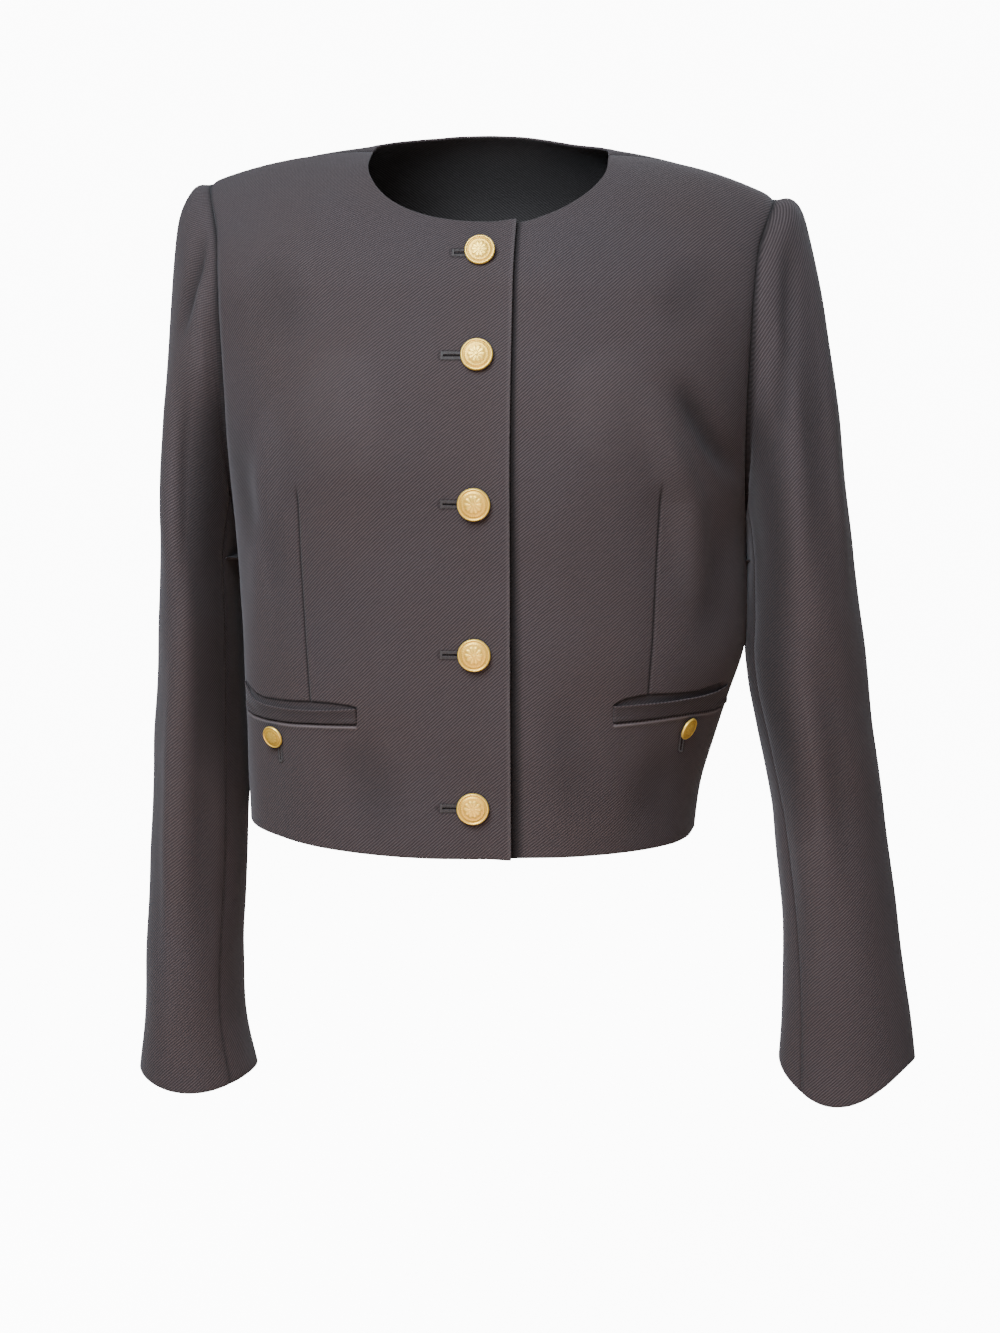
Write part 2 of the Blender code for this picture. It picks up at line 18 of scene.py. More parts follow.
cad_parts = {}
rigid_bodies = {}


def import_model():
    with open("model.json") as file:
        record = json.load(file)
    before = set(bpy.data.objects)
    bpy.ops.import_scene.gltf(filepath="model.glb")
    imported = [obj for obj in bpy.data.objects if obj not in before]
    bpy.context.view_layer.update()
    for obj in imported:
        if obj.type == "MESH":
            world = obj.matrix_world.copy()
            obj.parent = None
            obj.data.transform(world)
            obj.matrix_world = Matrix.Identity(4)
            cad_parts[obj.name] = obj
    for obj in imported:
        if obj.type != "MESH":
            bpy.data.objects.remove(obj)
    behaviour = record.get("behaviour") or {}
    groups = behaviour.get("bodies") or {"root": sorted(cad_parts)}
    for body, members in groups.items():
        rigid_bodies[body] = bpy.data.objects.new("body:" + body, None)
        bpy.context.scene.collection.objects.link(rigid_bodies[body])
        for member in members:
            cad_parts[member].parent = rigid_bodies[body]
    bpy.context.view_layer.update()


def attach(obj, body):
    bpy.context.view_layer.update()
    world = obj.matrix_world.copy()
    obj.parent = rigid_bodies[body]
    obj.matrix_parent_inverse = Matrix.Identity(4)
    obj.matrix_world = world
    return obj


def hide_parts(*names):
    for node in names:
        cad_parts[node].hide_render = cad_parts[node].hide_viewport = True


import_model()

# %% [markdown]
# ## The cut and the worn form
# A tailor thinks of the jacket as panels on a body form. So does this file: the form is a stack of
# rounded sections, the cloth rolls over a shoulder line, and each panel is a patch of it between
# seams. These are the same driving sizes and functions as in the part's own source, so the fine
# cloth lies exactly on the plain walls. The alternative, subdividing the plain walls, would keep
# their facets and would have no flat cut for the weave to follow.

# %% Driving sizes of the cut
WALL = 0.0018
SEAM_GAP = 0.0001
SLEEVE_TUCK = -0.00005
LAYER_STEP = 0.0023
NECK_HALF_WIDTH = 0.079
FRONT_NECK_DROP = 0.048
FRONT_NECK_POWER = 2.1
BACK_NECK_RUN = 0.062
SHOULDER_HALF_WIDTH = 0.186
SHOULDER_BEND = 1.9
SHOULDER_TILT = 0.019
TIP_DROP = {1: 0.0260, -1: 0.0215}
ROLL_HEIGHT = 0.09
ROLL_LENGTH = 0.14
ROLL_POWER = 1.7
NAPE_LIFT = 0.045
NAPE_HALF_WIDTH = 0.15
UNDERARM_HEIGHT = -0.24
HEM_HEIGHT = -0.448
HEM_SIDE_RISE = {1: 0.002, -1: 0.010}
LAP = 0.023
LAP_EASE = 0.035
BODY_SQUARENESS = 2.4
BUST_FULLNESS = 0.004
BUST_PLACE = (0.085, -0.195)
BUST_SPREAD = 0.055

BODY_COLUMNS = ("height", "half_width", "centre_x", "front_depth", "back_depth")
BODY_ROWS = (
    (0.060, 0.2140, 0.0000, 0.078, 0.074),
    (0.000, 0.2140, 0.0000, 0.078, 0.080),
    (-0.035, 0.2010, 0.0000, 0.091, 0.088),
    (-0.066, 0.1950, 0.0000, 0.102, 0.094),
    (-0.100, 0.1890, 0.0000, 0.112, 0.102),
    (-0.150, 0.1810, 0.0000, 0.125, 0.110),
    (-0.200, 0.1740, 0.0000, 0.131, 0.111),
    (-0.240, 0.1695, 0.0005, 0.131, 0.107),
    (-0.290, 0.1687, 0.0020, 0.129, 0.100),
    (-0.325, 0.1664, 0.0026, 0.128, 0.096),
    (-0.355, 0.1612, -0.0018, 0.127, 0.094),
    (-0.385, 0.1560, -0.0060, 0.126, 0.094),
    (-0.415, 0.1515, -0.0100, 0.124, 0.095),
    (-0.448, 0.1490, -0.0120, 0.122, 0.097),
)
SLEEVE_COLUMNS = ("height", "inner", "outer", "front", "back")
SLEEVE_ROWS = {
    1: (
        (-0.270, 0.1718, 0.2415, -0.074, 0.066),
        (-0.330, 0.1735, 0.2495, -0.071, 0.062),
        (-0.380, 0.1810, 0.2555, -0.068, 0.058),
        (-0.430, 0.1885, 0.2625, -0.065, 0.053),
        (-0.480, 0.1945, 0.2700, -0.062, 0.046),
        (-0.530, 0.1975, 0.2765, -0.060, 0.038),
        (-0.570, 0.1972, 0.2815, -0.059, 0.030),
        (-0.597, 0.1960, 0.2852, -0.059, 0.025),
    ),
    -1: (
        (-0.270, 0.1705, 0.2200, -0.075, 0.068),
        (-0.330, 0.1683, 0.2230, -0.072, 0.064),
        (-0.380, 0.1675, 0.2260, -0.069, 0.060),
        (-0.430, 0.1663, 0.2290, -0.067, 0.055),
        (-0.480, 0.1670, 0.2318, -0.064, 0.049),
        (-0.530, 0.1695, 0.2340, -0.062, 0.041),
        (-0.570, 0.1685, 0.2360, -0.061, 0.034),
        (-0.613, 0.1590, 0.2398, -0.061, 0.029),
    ),
}
CUFF_DROP = {1: 0.025, -1: 0.009}
CUFF_LOW_TURN = {1: math.radians(104.0), -1: math.radians(92.0)}
CUFF_POINT = 2.0
CAP_PULL_TOP = {1: 0.42, -1: 0.34}
CAP_PULL_UNDER = 0.60
CAP_PULL_END = {1: 1.00, -1: 0.90}
UNDER_SLEEVE_COLUMNS = 4
SEAM_SWING = math.radians(30.0)
NECK_COLUMNS = 6
SHOULDER_COLUMNS = 6
SIDE_ROWS = 10
ARMHOLE_ROWS = 12
ROW_EASE = 1.5
SPREAD_PASSES = 25
CAP_ROWS = 8
SLEEVE_LOWER_ROWS = 9
SLEEVE_TURNS = np.arange(2 * ARMHOLE_ROWS) * math.pi / ARMHOLE_ROWS
SIDE_NAMES = {1: "left", -1: "right"}
print("body sections:", len(BODY_ROWS), "sleeve sections:", len(SLEEVE_ROWS[1]))

# %% Curves through a few measured sizes
def hermite(share, start, start_pull, end, end_pull):
    """Point of a cubic that leaves start along start_pull and reaches end along end_pull."""
    share2 = share * share
    share3 = share2 * share
    return (
        (2 * share3 - 3 * share2 + 1) * start
        + (share3 - 2 * share2 + share) * start_pull
        + (3 * share2 - 2 * share3) * end
        + (share3 - share2) * end_pull
    )


def table_curve(rows, columns, name):
    """Smooth function of height through one named column of a table."""
    data = np.array(sorted(rows))
    heights = data[:, 0]
    values = data[:, columns.index(name)]
    slopes = np.gradient(values, heights)

    def curve(height):
        height = np.clip(height, heights[0], heights[-1])
        row = np.clip(np.searchsorted(heights, height) - 1, 0, len(heights) - 2)
        span = heights[row + 1] - heights[row]
        share = (height - heights[row]) / span
        return hermite(share, values[row], slopes[row] * span, values[row + 1], slopes[row + 1] * span)

    return curve


def smooth_step(value, start, end):
    """0 before start and 1 past end, with an even rise between them."""
    share = np.clip((value - start) / (end - start), 0.0, 1.0)
    return share * share * (3.0 - 2.0 * share)


def bell(distance, width):
    """1 at no distance, falling off smoothly over about one width."""
    return np.exp(-((distance / width) ** 2))


def unit(vectors):
    """The same directions with length 1."""
    return vectors / np.linalg.norm(vectors, axis=-1, keepdims=True)


body = {name: table_curve(BODY_ROWS, BODY_COLUMNS, name) for name in BODY_COLUMNS[1:]}
sleeve = {
    side: {name: table_curve(rows, SLEEVE_COLUMNS, name) for name in SLEEVE_COLUMNS[1:]}
    for side, rows in SLEEVE_ROWS.items()
}
print("chest half width:", round(float(body["half_width"](-0.15)), 4))

# %% The surface that the body panels lie on
def drop_at(level):
    """Length of cloth from the shoulder line down to a level of the plain body form."""
    fall = np.maximum(-np.asarray(level, float), 0.0)
    rolled = np.clip(1.0 - fall / ROLL_HEIGHT, 0.0, 1.0) ** (ROLL_POWER / 2)
    turn = np.arccos(rolled)
    return ROLL_LENGTH * turn / (math.pi / 2) + np.maximum(fall - ROLL_HEIGHT, 0.0)


def level_and_reach(drop):
    """Level below the shoulder line, and the share of the full depth, after a length of cloth."""
    turn = np.clip(drop / ROLL_LENGTH, 0.0, 1.0) * math.pi / 2
    cosine = np.clip(np.cos(turn), 0.0, 1.0)
    fall = ROLL_HEIGHT * (1.0 - cosine ** (2 / ROLL_POWER)) + np.maximum(drop - ROLL_LENGTH, 0.0)
    return -fall, np.sin(turn) ** (2 / ROLL_POWER)


def shoulder_height(x):
    """Height of the shoulder line: a slight tilt, and a fall from the neck to each tip."""
    tip_drop = np.where(x > 0, TIP_DROP[1], TIP_DROP[-1])
    share = (np.abs(x) - NECK_HALF_WIDTH) / (SHOULDER_HALF_WIDTH - NECK_HALF_WIDTH)
    return -SHOULDER_TILT * x - tip_drop * np.clip(share, 0.0, 1.4) ** SHOULDER_BEND


def body_angle(x, drop, behind=False):
    """Angle round the body, from the centre front towards +X, of the cloth at x."""
    level, _ = level_and_reach(drop)
    share = (x - body["centre_x"](level)) / body["half_width"](level)
    power = np.clip(np.abs(share), 0.0, 0.999) ** BODY_SQUARENESS
    angle = np.arctan((power / (1.0 - power)) ** (1.0 / BODY_SQUARENESS))
    if behind:
        angle = math.pi - angle
    return np.sign(share) * angle


def body_point(angle, drop):
    """Outer surface of the body: rounded sections below a shoulder line that the cloth rolls over."""
    angle = np.asarray(angle, float)
    level, reach = level_and_reach(np.asarray(drop, float))
    sine, cosine = np.sin(angle), np.cos(angle)
    corner = (np.abs(sine) ** BODY_SQUARENESS + np.abs(cosine) ** BODY_SQUARENESS) ** (-1 / BODY_SQUARENESS)
    x = body["centre_x"](level) + body["half_width"](level) * corner * sine
    behind = cosine < 0
    fade = smooth_step(level, UNDERARM_HEIGHT, -ROLL_HEIGHT)
    near_neck = np.clip(1.0 - (x / NAPE_HALF_WIDTH) ** 2, 0.0, 1.0) ** 2
    turn = np.clip(drop / ROLL_LENGTH, 0.0, 1.0) * math.pi / 2
    rise = np.where(turn < math.pi / 3, np.sin(1.5 * turn), 1.0) * smooth_step(level, -0.30, -ROLL_HEIGHT)
    z = level + shoulder_height(x) * fade + np.where(behind, NAPE_LIFT * near_neck * rise, 0.0)
    depth = np.where(behind, body["back_depth"](z), body["front_depth"](z))
    y = -depth * corner * cosine * reach
    across, up = BUST_PLACE
    bust = np.exp(-(((np.abs(x) - across) / BUST_SPREAD) ** 2 + ((z - up) / BUST_SPREAD) ** 2))
    y = y - np.where(behind, 0.0, BUST_FULLNESS * bust * np.abs(cosine))
    return np.stack([x, y, z], axis=-1)


def body_normal(angle, drop):
    """Unit direction out of the body's surface."""
    step = 1e-4
    across = body_point(angle + step, drop) - body_point(angle - step, drop)
    down = body_point(angle, drop + step) - body_point(angle, np.maximum(drop - step, 0.0))
    return unit(np.cross(down, across))


print("centre front at chest height:", body_point(0.0, drop_at(-0.15)).round(4))

# %% [markdown]
# ## Panels as patches between their seams
# Each panel is a table of places on the form. The four edges are the neckline, seams, hem and
# armhole, and the inside is spread evenly between them, as a cutter would lay a pattern piece on a
# stand. A place is an angle round the body and a length of cloth down from the shoulder line.

# %% Edges of the front and back
def patch(bottom, top, start, end):
    """Blend four edges, each a row of (angle, drop), into an evenly spread table indexed [row, column]."""
    u = np.linspace(0.0, 1.0, len(bottom))[None, :, None]
    v = row_shares()[:, None, None]
    rows = (1 - v) * bottom[None] + v * top[None]
    columns = (1 - u) * start[:, None] + u * end[:, None]
    corners = (
        (1 - u) * (1 - v) * bottom[0]
        + u * (1 - v) * bottom[-1]
        + (1 - u) * v * top[0]
        + u * v * top[-1]
    )
    grid = rows + columns - corners
    for _ in range(SPREAD_PASSES):
        beside = grid[1:-1, :-2] + grid[1:-1, 2:]
        grid[1:-1, 1:-1] = (beside + grid[:-2, 1:-1] + grid[2:, 1:-1]) / 4
    return grid


def eased(count):
    """Shares from 0 to 1 whose steps shrink towards 1, where the cloth turns most."""
    return 1.0 - (1.0 - np.linspace(0.0, 1.0, count + 1)) ** ROW_EASE


def row_shares():
    """Heights of a panel's rows as shares: even along the side seam, then eased up to the top."""
    lower = SIDE_ROWS / (SIDE_ROWS + ARMHOLE_ROWS)
    upper = lower + (1.0 - lower) * eased(ARMHOLE_ROWS)
    return np.concatenate([np.linspace(0.0, lower, SIDE_ROWS + 1), upper[1:]])


def pairs(angle, drop):
    """Angles and drops as rows of (angle, drop)."""
    return np.stack(np.broadcast_arrays(angle, drop), axis=-1).astype(float)


def front_neck_height(x):
    """Height of the front neckline, a flattened arc between the shoulder seams."""
    share = np.clip(np.abs(x) / NECK_HALF_WIDTH, 0.0, 1.0)
    return -FRONT_NECK_DROP * (1.0 - share ** FRONT_NECK_POWER) ** (1.0 / FRONT_NECK_POWER)


def seam_drop():
    """Drop that leaves half a seam gap beside the shoulder line."""
    reach = SEAM_GAP / 2 / body["front_depth"](0.0)
    return ROLL_LENGTH * math.asin(reach ** (ROLL_POWER / 2)) / (math.pi / 2)


def shoulder_seam(side, behind, columns):
    """Shoulder seam from the neck to the tip."""
    x = side * np.linspace(NECK_HALF_WIDTH, SHOULDER_HALF_WIDTH, columns + 1)
    return pairs(body_angle(x, 0.0, behind), seam_drop())


def armhole(side, behind, share):
    """Armhole from the underarm, share 0, to the shoulder tip, share 1."""
    quarter = share * math.pi / 2
    tip = abs(float(body_angle(side * SHOULDER_HALF_WIDTH, 0.0)))
    angle = math.pi / 2 - (math.pi / 2 - tip) * np.sin(quarter)
    if behind:
        angle = math.pi - angle
    return pairs(side * angle, drop_at(UNDERARM_HEIGHT) * np.cos(quarter))


def hem_drop(x):
    """Drop of the hem, which rises a little towards both sides."""
    rise = np.where(x > 0, HEM_SIDE_RISE[1], HEM_SIDE_RISE[-1])
    half_width = body["half_width"](HEM_HEIGHT)
    return drop_at(HEM_HEIGHT + rise * (np.abs(x) / half_width) ** 2)


def side_edge(side, behind):
    """Side seam from the hem to the underarm, then the armhole up to the shoulder tip."""
    half_gap = SEAM_GAP / 2 / body["front_depth"](UNDERARM_HEIGHT)
    angle = math.pi / 2 + (half_gap if behind else -half_gap)
    hem_x = side * body["half_width"](HEM_HEIGHT)
    drops = np.linspace(hem_drop(hem_x), drop_at(UNDERARM_HEIGHT), SIDE_ROWS + 1)
    seam = pairs(side * angle, drops)
    curve = armhole(side, behind, eased(ARMHOLE_ROWS))
    curve[0] = seam[-1]
    curve[-1, 1] = seam_drop()
    return np.concatenate([seam, curve[1:]])


def hem_edge(first, last, count):
    """Hem between two angles round the body."""
    angles = np.linspace(first, last, count)
    across = body["half_width"](HEM_HEIGHT) * np.sin(angles)
    return pairs(angles, hem_drop(across))


# %% The front and back panels
def front_grid(side):
    """Places of one front: a straight strip round the centre front and a patch out to the side."""
    strip = []
    for x in (-LAP, 0.0, LAP):
        hem = hem_drop(0.0)
        drops = hem + (drop_at(front_neck_height(x)) - hem) * row_shares()
        strip.append(pairs(body_angle(side * x, drops), drops))
    lap_turn = math.asin((LAP / NECK_HALF_WIDTH) ** (FRONT_NECK_POWER / 2))
    quarter = np.linspace(lap_turn, math.pi / 2, NECK_COLUMNS + 1)
    neck_x = NECK_HALF_WIDTH * np.sin(quarter) ** (2 / FRONT_NECK_POWER)
    neck_drop = drop_at(front_neck_height(neck_x))
    neck = pairs(body_angle(side * neck_x, neck_drop), neck_drop)
    seam = shoulder_seam(side, False, SHOULDER_COLUMNS)
    neck[-1] = seam[0]
    top = np.concatenate([neck, seam[1:]])
    top[0] = strip[-1][-1]
    end = side_edge(side, False)
    top[-1] = end[-1]
    bottom = hem_edge(strip[-1][0, 0], end[0, 0], len(top))
    bottom[0], bottom[-1] = strip[-1][0], end[0]
    main = patch(bottom, top, strip[-1], end)
    return np.concatenate([np.stack(strip[:2], axis=1), main], axis=1)


def back_grid():
    """Places of the back, one piece from side to side."""
    quarter = np.linspace(0.0, math.pi, 2 * NECK_COLUMNS + 1)
    neck_x = -NECK_HALF_WIDTH * np.cos(quarter)
    neck_drop = BACK_NECK_RUN * np.sin(quarter)
    neck = pairs(body_angle(neck_x, neck_drop, behind=True), neck_drop)
    right_seam = shoulder_seam(-1, True, SHOULDER_COLUMNS)[::-1]
    left_seam = shoulder_seam(1, True, SHOULDER_COLUMNS)
    top = np.concatenate([right_seam, neck[1:-1], left_seam])
    top[:, 0] = np.mod(top[:, 0], 2 * math.pi)
    top[SHOULDER_COLUMNS + NECK_COLUMNS, 0] = math.pi
    start = side_edge(-1, True)
    end = side_edge(1, True)
    start[:, 0] = np.mod(start[:, 0], 2 * math.pi)
    top[0], top[-1] = start[-1], end[-1]
    bottom = hem_edge(start[0, 0], end[0, 0], len(top))
    bottom[0], bottom[-1] = start[0], end[0]
    return patch(bottom, top, start, end)


print("front panel:", front_grid(1).shape[:2], "back panel:", back_grid().shape[:2])

# %% The two-piece sleeves
def sleeve_ring(side, turn, height):
    """Point of a hanging sleeve: turn 0 is its outer side, a quarter its front, a half its inner side."""
    table = sleeve[side]
    centre_x = (table["inner"](height) + table["outer"](height)) / 2
    centre_y = (table["front"](height) + table["back"](height)) / 2
    half_width = (table["outer"](height) - table["inner"](height)) / 2
    half_depth = (table["back"](height) - table["front"](height)) / 2
    top, cuff = SLEEVE_ROWS[side][0][0], SLEEVE_ROWS[side][-1][0]
    share = (top - height) / (top - cuff)
    low = CUFF_DROP[side] * np.clip(np.cos(turn - CUFF_LOW_TURN[side]), 0.0, 1.0) ** CUFF_POINT
    x = side * (centre_x + half_width * np.cos(turn))
    y = centre_y - half_depth * np.sin(turn)
    z = height - low * share ** 2
    return np.stack(np.broadcast_arrays(x, y, z), axis=-1)


def armhole_frame(side, turn):
    """Point of the armhole at a sleeve's turn, with the body's normal and the way off its edge."""
    behind = turn > math.pi
    way_up = abs(turn - math.pi) / math.pi
    share = 1.0 - (1.0 - way_up) ** ROW_EASE
    step = 1e-3
    shares = np.clip(np.array([share - step, share, share + step]), 0, 1)
    before, here, after = armhole(side, behind, shares)
    point = body_point(*here)
    normal = body_normal(here[0], max(here[1], step))
    along = body_point(*after) - body_point(*before)
    off_edge = np.cross(along, normal)
    off_edge /= np.linalg.norm(off_edge)
    if off_edge[2] < 0 and share < 0.5 or off_edge[0] * side < 0 and share >= 0.5:
        off_edge = -off_edge
    return point, normal, off_edge


def sleeve_grid(side):
    """Points of a whole sleeve from the armhole to the cuff, indexed [row, lengthwise line]."""
    top, cuff = SLEEVE_ROWS[side][0][0], SLEEVE_ROWS[side][-1][0]
    heights = np.linspace(top, cuff, SLEEVE_LOWER_ROWS + 1)
    grid = np.zeros((CAP_ROWS + SLEEVE_LOWER_ROWS + 1, len(SLEEVE_TURNS), 3))
    for column, turn in enumerate(SLEEVE_TURNS):
        point, normal, off_edge = armhole_frame(side, turn)
        under = math.sin(turn / 2) ** 2
        start = point - SLEEVE_TUCK * off_edge + SLEEVE_TUCK * under * normal
        end = sleeve_ring(side, turn, top)
        run = np.linalg.norm(end - start)
        leave = np.array([side * (0.12 + 0.88 * (1 - under)), 0.0, -under])
        leave /= np.linalg.norm(leave)
        arrive = sleeve_ring(side, turn, top - 0.01) - end
        arrive /= np.linalg.norm(arrive)
        leave_pull = run * (CAP_PULL_TOP[side] + (CAP_PULL_UNDER - CAP_PULL_TOP[side]) * under)
        arrive_pull = run * CAP_PULL_END[side]
        for row in range(CAP_ROWS + 1):
            share = row / CAP_ROWS
            grid[row, column] = hermite(share, start, leave * leave_pull, end, arrive * arrive_pull)
        for row, height in enumerate(heights[1:], start=1):
            lower_turn = turn - SEAM_SWING * row / SLEEVE_LOWER_ROWS * math.sin(turn)
            grid[CAP_ROWS + row, column] = sleeve_ring(side, lower_turn, height)
    return grid


print("sleeve:", sleeve_grid(1).shape[:2])

# %% [markdown]
# ## From a few rows to a fine cloth
# Folds need a point about every two or three millimetres. The coarse tables are read along smooth
# curves at as many places as wanted. Rows are placed evenly in length, not in index, so that no
# cells get squashed where the plain model's rows crowd together.

# %% Read a table at finer steps
BODY_FINE_ROWS = 190
BODY_FINE_COLUMNS = 8
CAP_FINE_ROWS = 6
LOWER_FINE_ROWS = 11
SLEEVE_FINE_COLUMNS = 6


def between(grid, positions, closed=False):
    """The table's first axis read at fractional positions, on smooth curves through its entries."""
    count = len(grid)
    if closed:
        slopes = (np.roll(grid, -1, axis=0) - np.roll(grid, 1, axis=0)) / 2
        first = np.floor(positions).astype(int)
        second = (first + 1) % count
        share = positions - first
        first = first % count
    else:
        slopes = np.gradient(grid, axis=0)
        first = np.clip(np.floor(positions).astype(int), 0, count - 2)
        second = first + 1
        share = positions - first
    share = share.reshape(-1, *([1] * (grid.ndim - 1)))
    return hermite(share, grid[first], slopes[first], grid[second], slopes[second])


def finer(grid, row_positions, column_positions, closed=False):
    """The whole table at finer rows and columns."""
    rows = between(grid, row_positions)
    return np.swapaxes(between(np.swapaxes(rows, 0, 1), column_positions, closed), 0, 1)


def finer_table(coarse):
    """A body panel's table at finer columns, and at rows that lie evenly along its edge."""
    shares = row_shares()
    rows = np.interp(np.linspace(0.0, 1.0, BODY_FINE_ROWS + 1), shares, np.arange(len(shares)))
    columns = np.linspace(0, coarse.shape[1] - 1, (coarse.shape[1] - 1) * BODY_FINE_COLUMNS + 1)
    return finer(coarse, rows, columns)


def worn(coarse):
    """Fine points and normals of a body panel as worn, none of them beyond the shoulder seam."""
    grid = finer_table(coarse)
    angle, drop = grid[..., 0], np.maximum(grid[..., 1], seam_drop())
    return body_point(angle, drop), body_normal(angle, drop)


print("rows on the body:", BODY_FINE_ROWS)

# %% [markdown]
# ## The flat cut
# Woven cloth hardly stretches, so its ribs show how each panel was laid out flat. The UV map is that
# flat cut, in metres. It starts from a rough guess, girth across and length of cloth up, and is then
# relaxed until the edges and diagonals of all cells have their worn length, like a net of springs:
# many times on the coarse table, then a few times on the fine one. A projection from the front would
# smear the ribs at the sides, and a plain guess bends them wherever the panel curves both ways.

# %% Lay the panels out flat
COARSE_PASSES = 1500
FINE_PASSES = 220
NET_LINKS = ((0, 1), (1, 0), (1, 1), (1, -1))
OVERSHOOT = 1.3


def link_ends(table, link):
    """The two ends of every link of a net that go one step in a direction."""
    rows, columns = link
    if columns < 0:
        return table[:-1, 1:], table[1:, :-1]
    return table[:len(table) - rows, :table.shape[1] - columns], table[rows:, columns:]


def relaxed(points, guess, passes):
    """Flat places whose links have the length of the same links between the worn points."""
    flat = guess.astype(float)
    rest = []
    for link in NET_LINKS:
        first, second = link_ends(points, link)
        rest.append(np.linalg.norm(second - first, axis=-1))
    for _ in range(passes):
        moved = np.zeros_like(flat)
        count = np.zeros(flat.shape[:2])
        for link, length in zip(NET_LINKS, rest):
            first, second = link_ends(flat, link)
            span = second - first
            now = np.maximum(np.linalg.norm(span, axis=-1), 1e-9)
            pull = span * ((now - length) / now / 2)[..., None]
            move_first, move_second = link_ends(moved, link)
            count_first, count_second = link_ends(count, link)
            move_first += pull
            move_second -= pull
            count_first += 1
            count_second += 1
        flat += moved / count[..., None] * OVERSHOOT
    return flat


def upright(flat, column, falling=False):
    """The flat cut turned so that one column of it runs straight up from the origin, or straight down."""
    grain = flat[-1, column] - flat[0, column]
    turn = math.atan2(grain[0], grain[1])
    if falling:
        turn += math.pi
    cosine, sine = math.cos(turn), math.sin(turn)
    flat = flat @ np.array([[cosine, sine], [-sine, cosine]])
    return flat - flat[0, column]


def body_flat(coarse, middle, column, outer):
    """Flat cut of a body panel, first of its coarse places and then of its fine points."""
    points = body_point(coarse[..., 0], coarse[..., 1])
    half_width = body["half_width"](points[..., 2])
    guess = np.stack([(coarse[..., 0] - middle) * half_width, -coarse[..., 1]], axis=-1)
    flat = upright(relaxed(points, guess, COARSE_PASSES), column)
    return relaxed(outer, finer_table(flat), FINE_PASSES)


def sleeve_flat(coarse, side, rows, columns, outer):
    """Flat cut of a sleeve piece, first of its coarse points and then of its fine ones."""
    middle = coarse.shape[1] // 2
    across = np.linalg.norm(np.diff(coarse, axis=1), axis=-1)
    girth = np.concatenate([np.zeros((len(coarse), 1)), np.cumsum(across, axis=1)], axis=1)
    girth -= girth[:, middle:middle + 1]
    guess = np.stack([-side * girth, coarse[..., 2]], axis=-1)
    flat = upright(relaxed(coarse, guess, COARSE_PASSES), middle, falling=True)
    return relaxed(outer, finer(flat, rows, columns), FINE_PASSES)
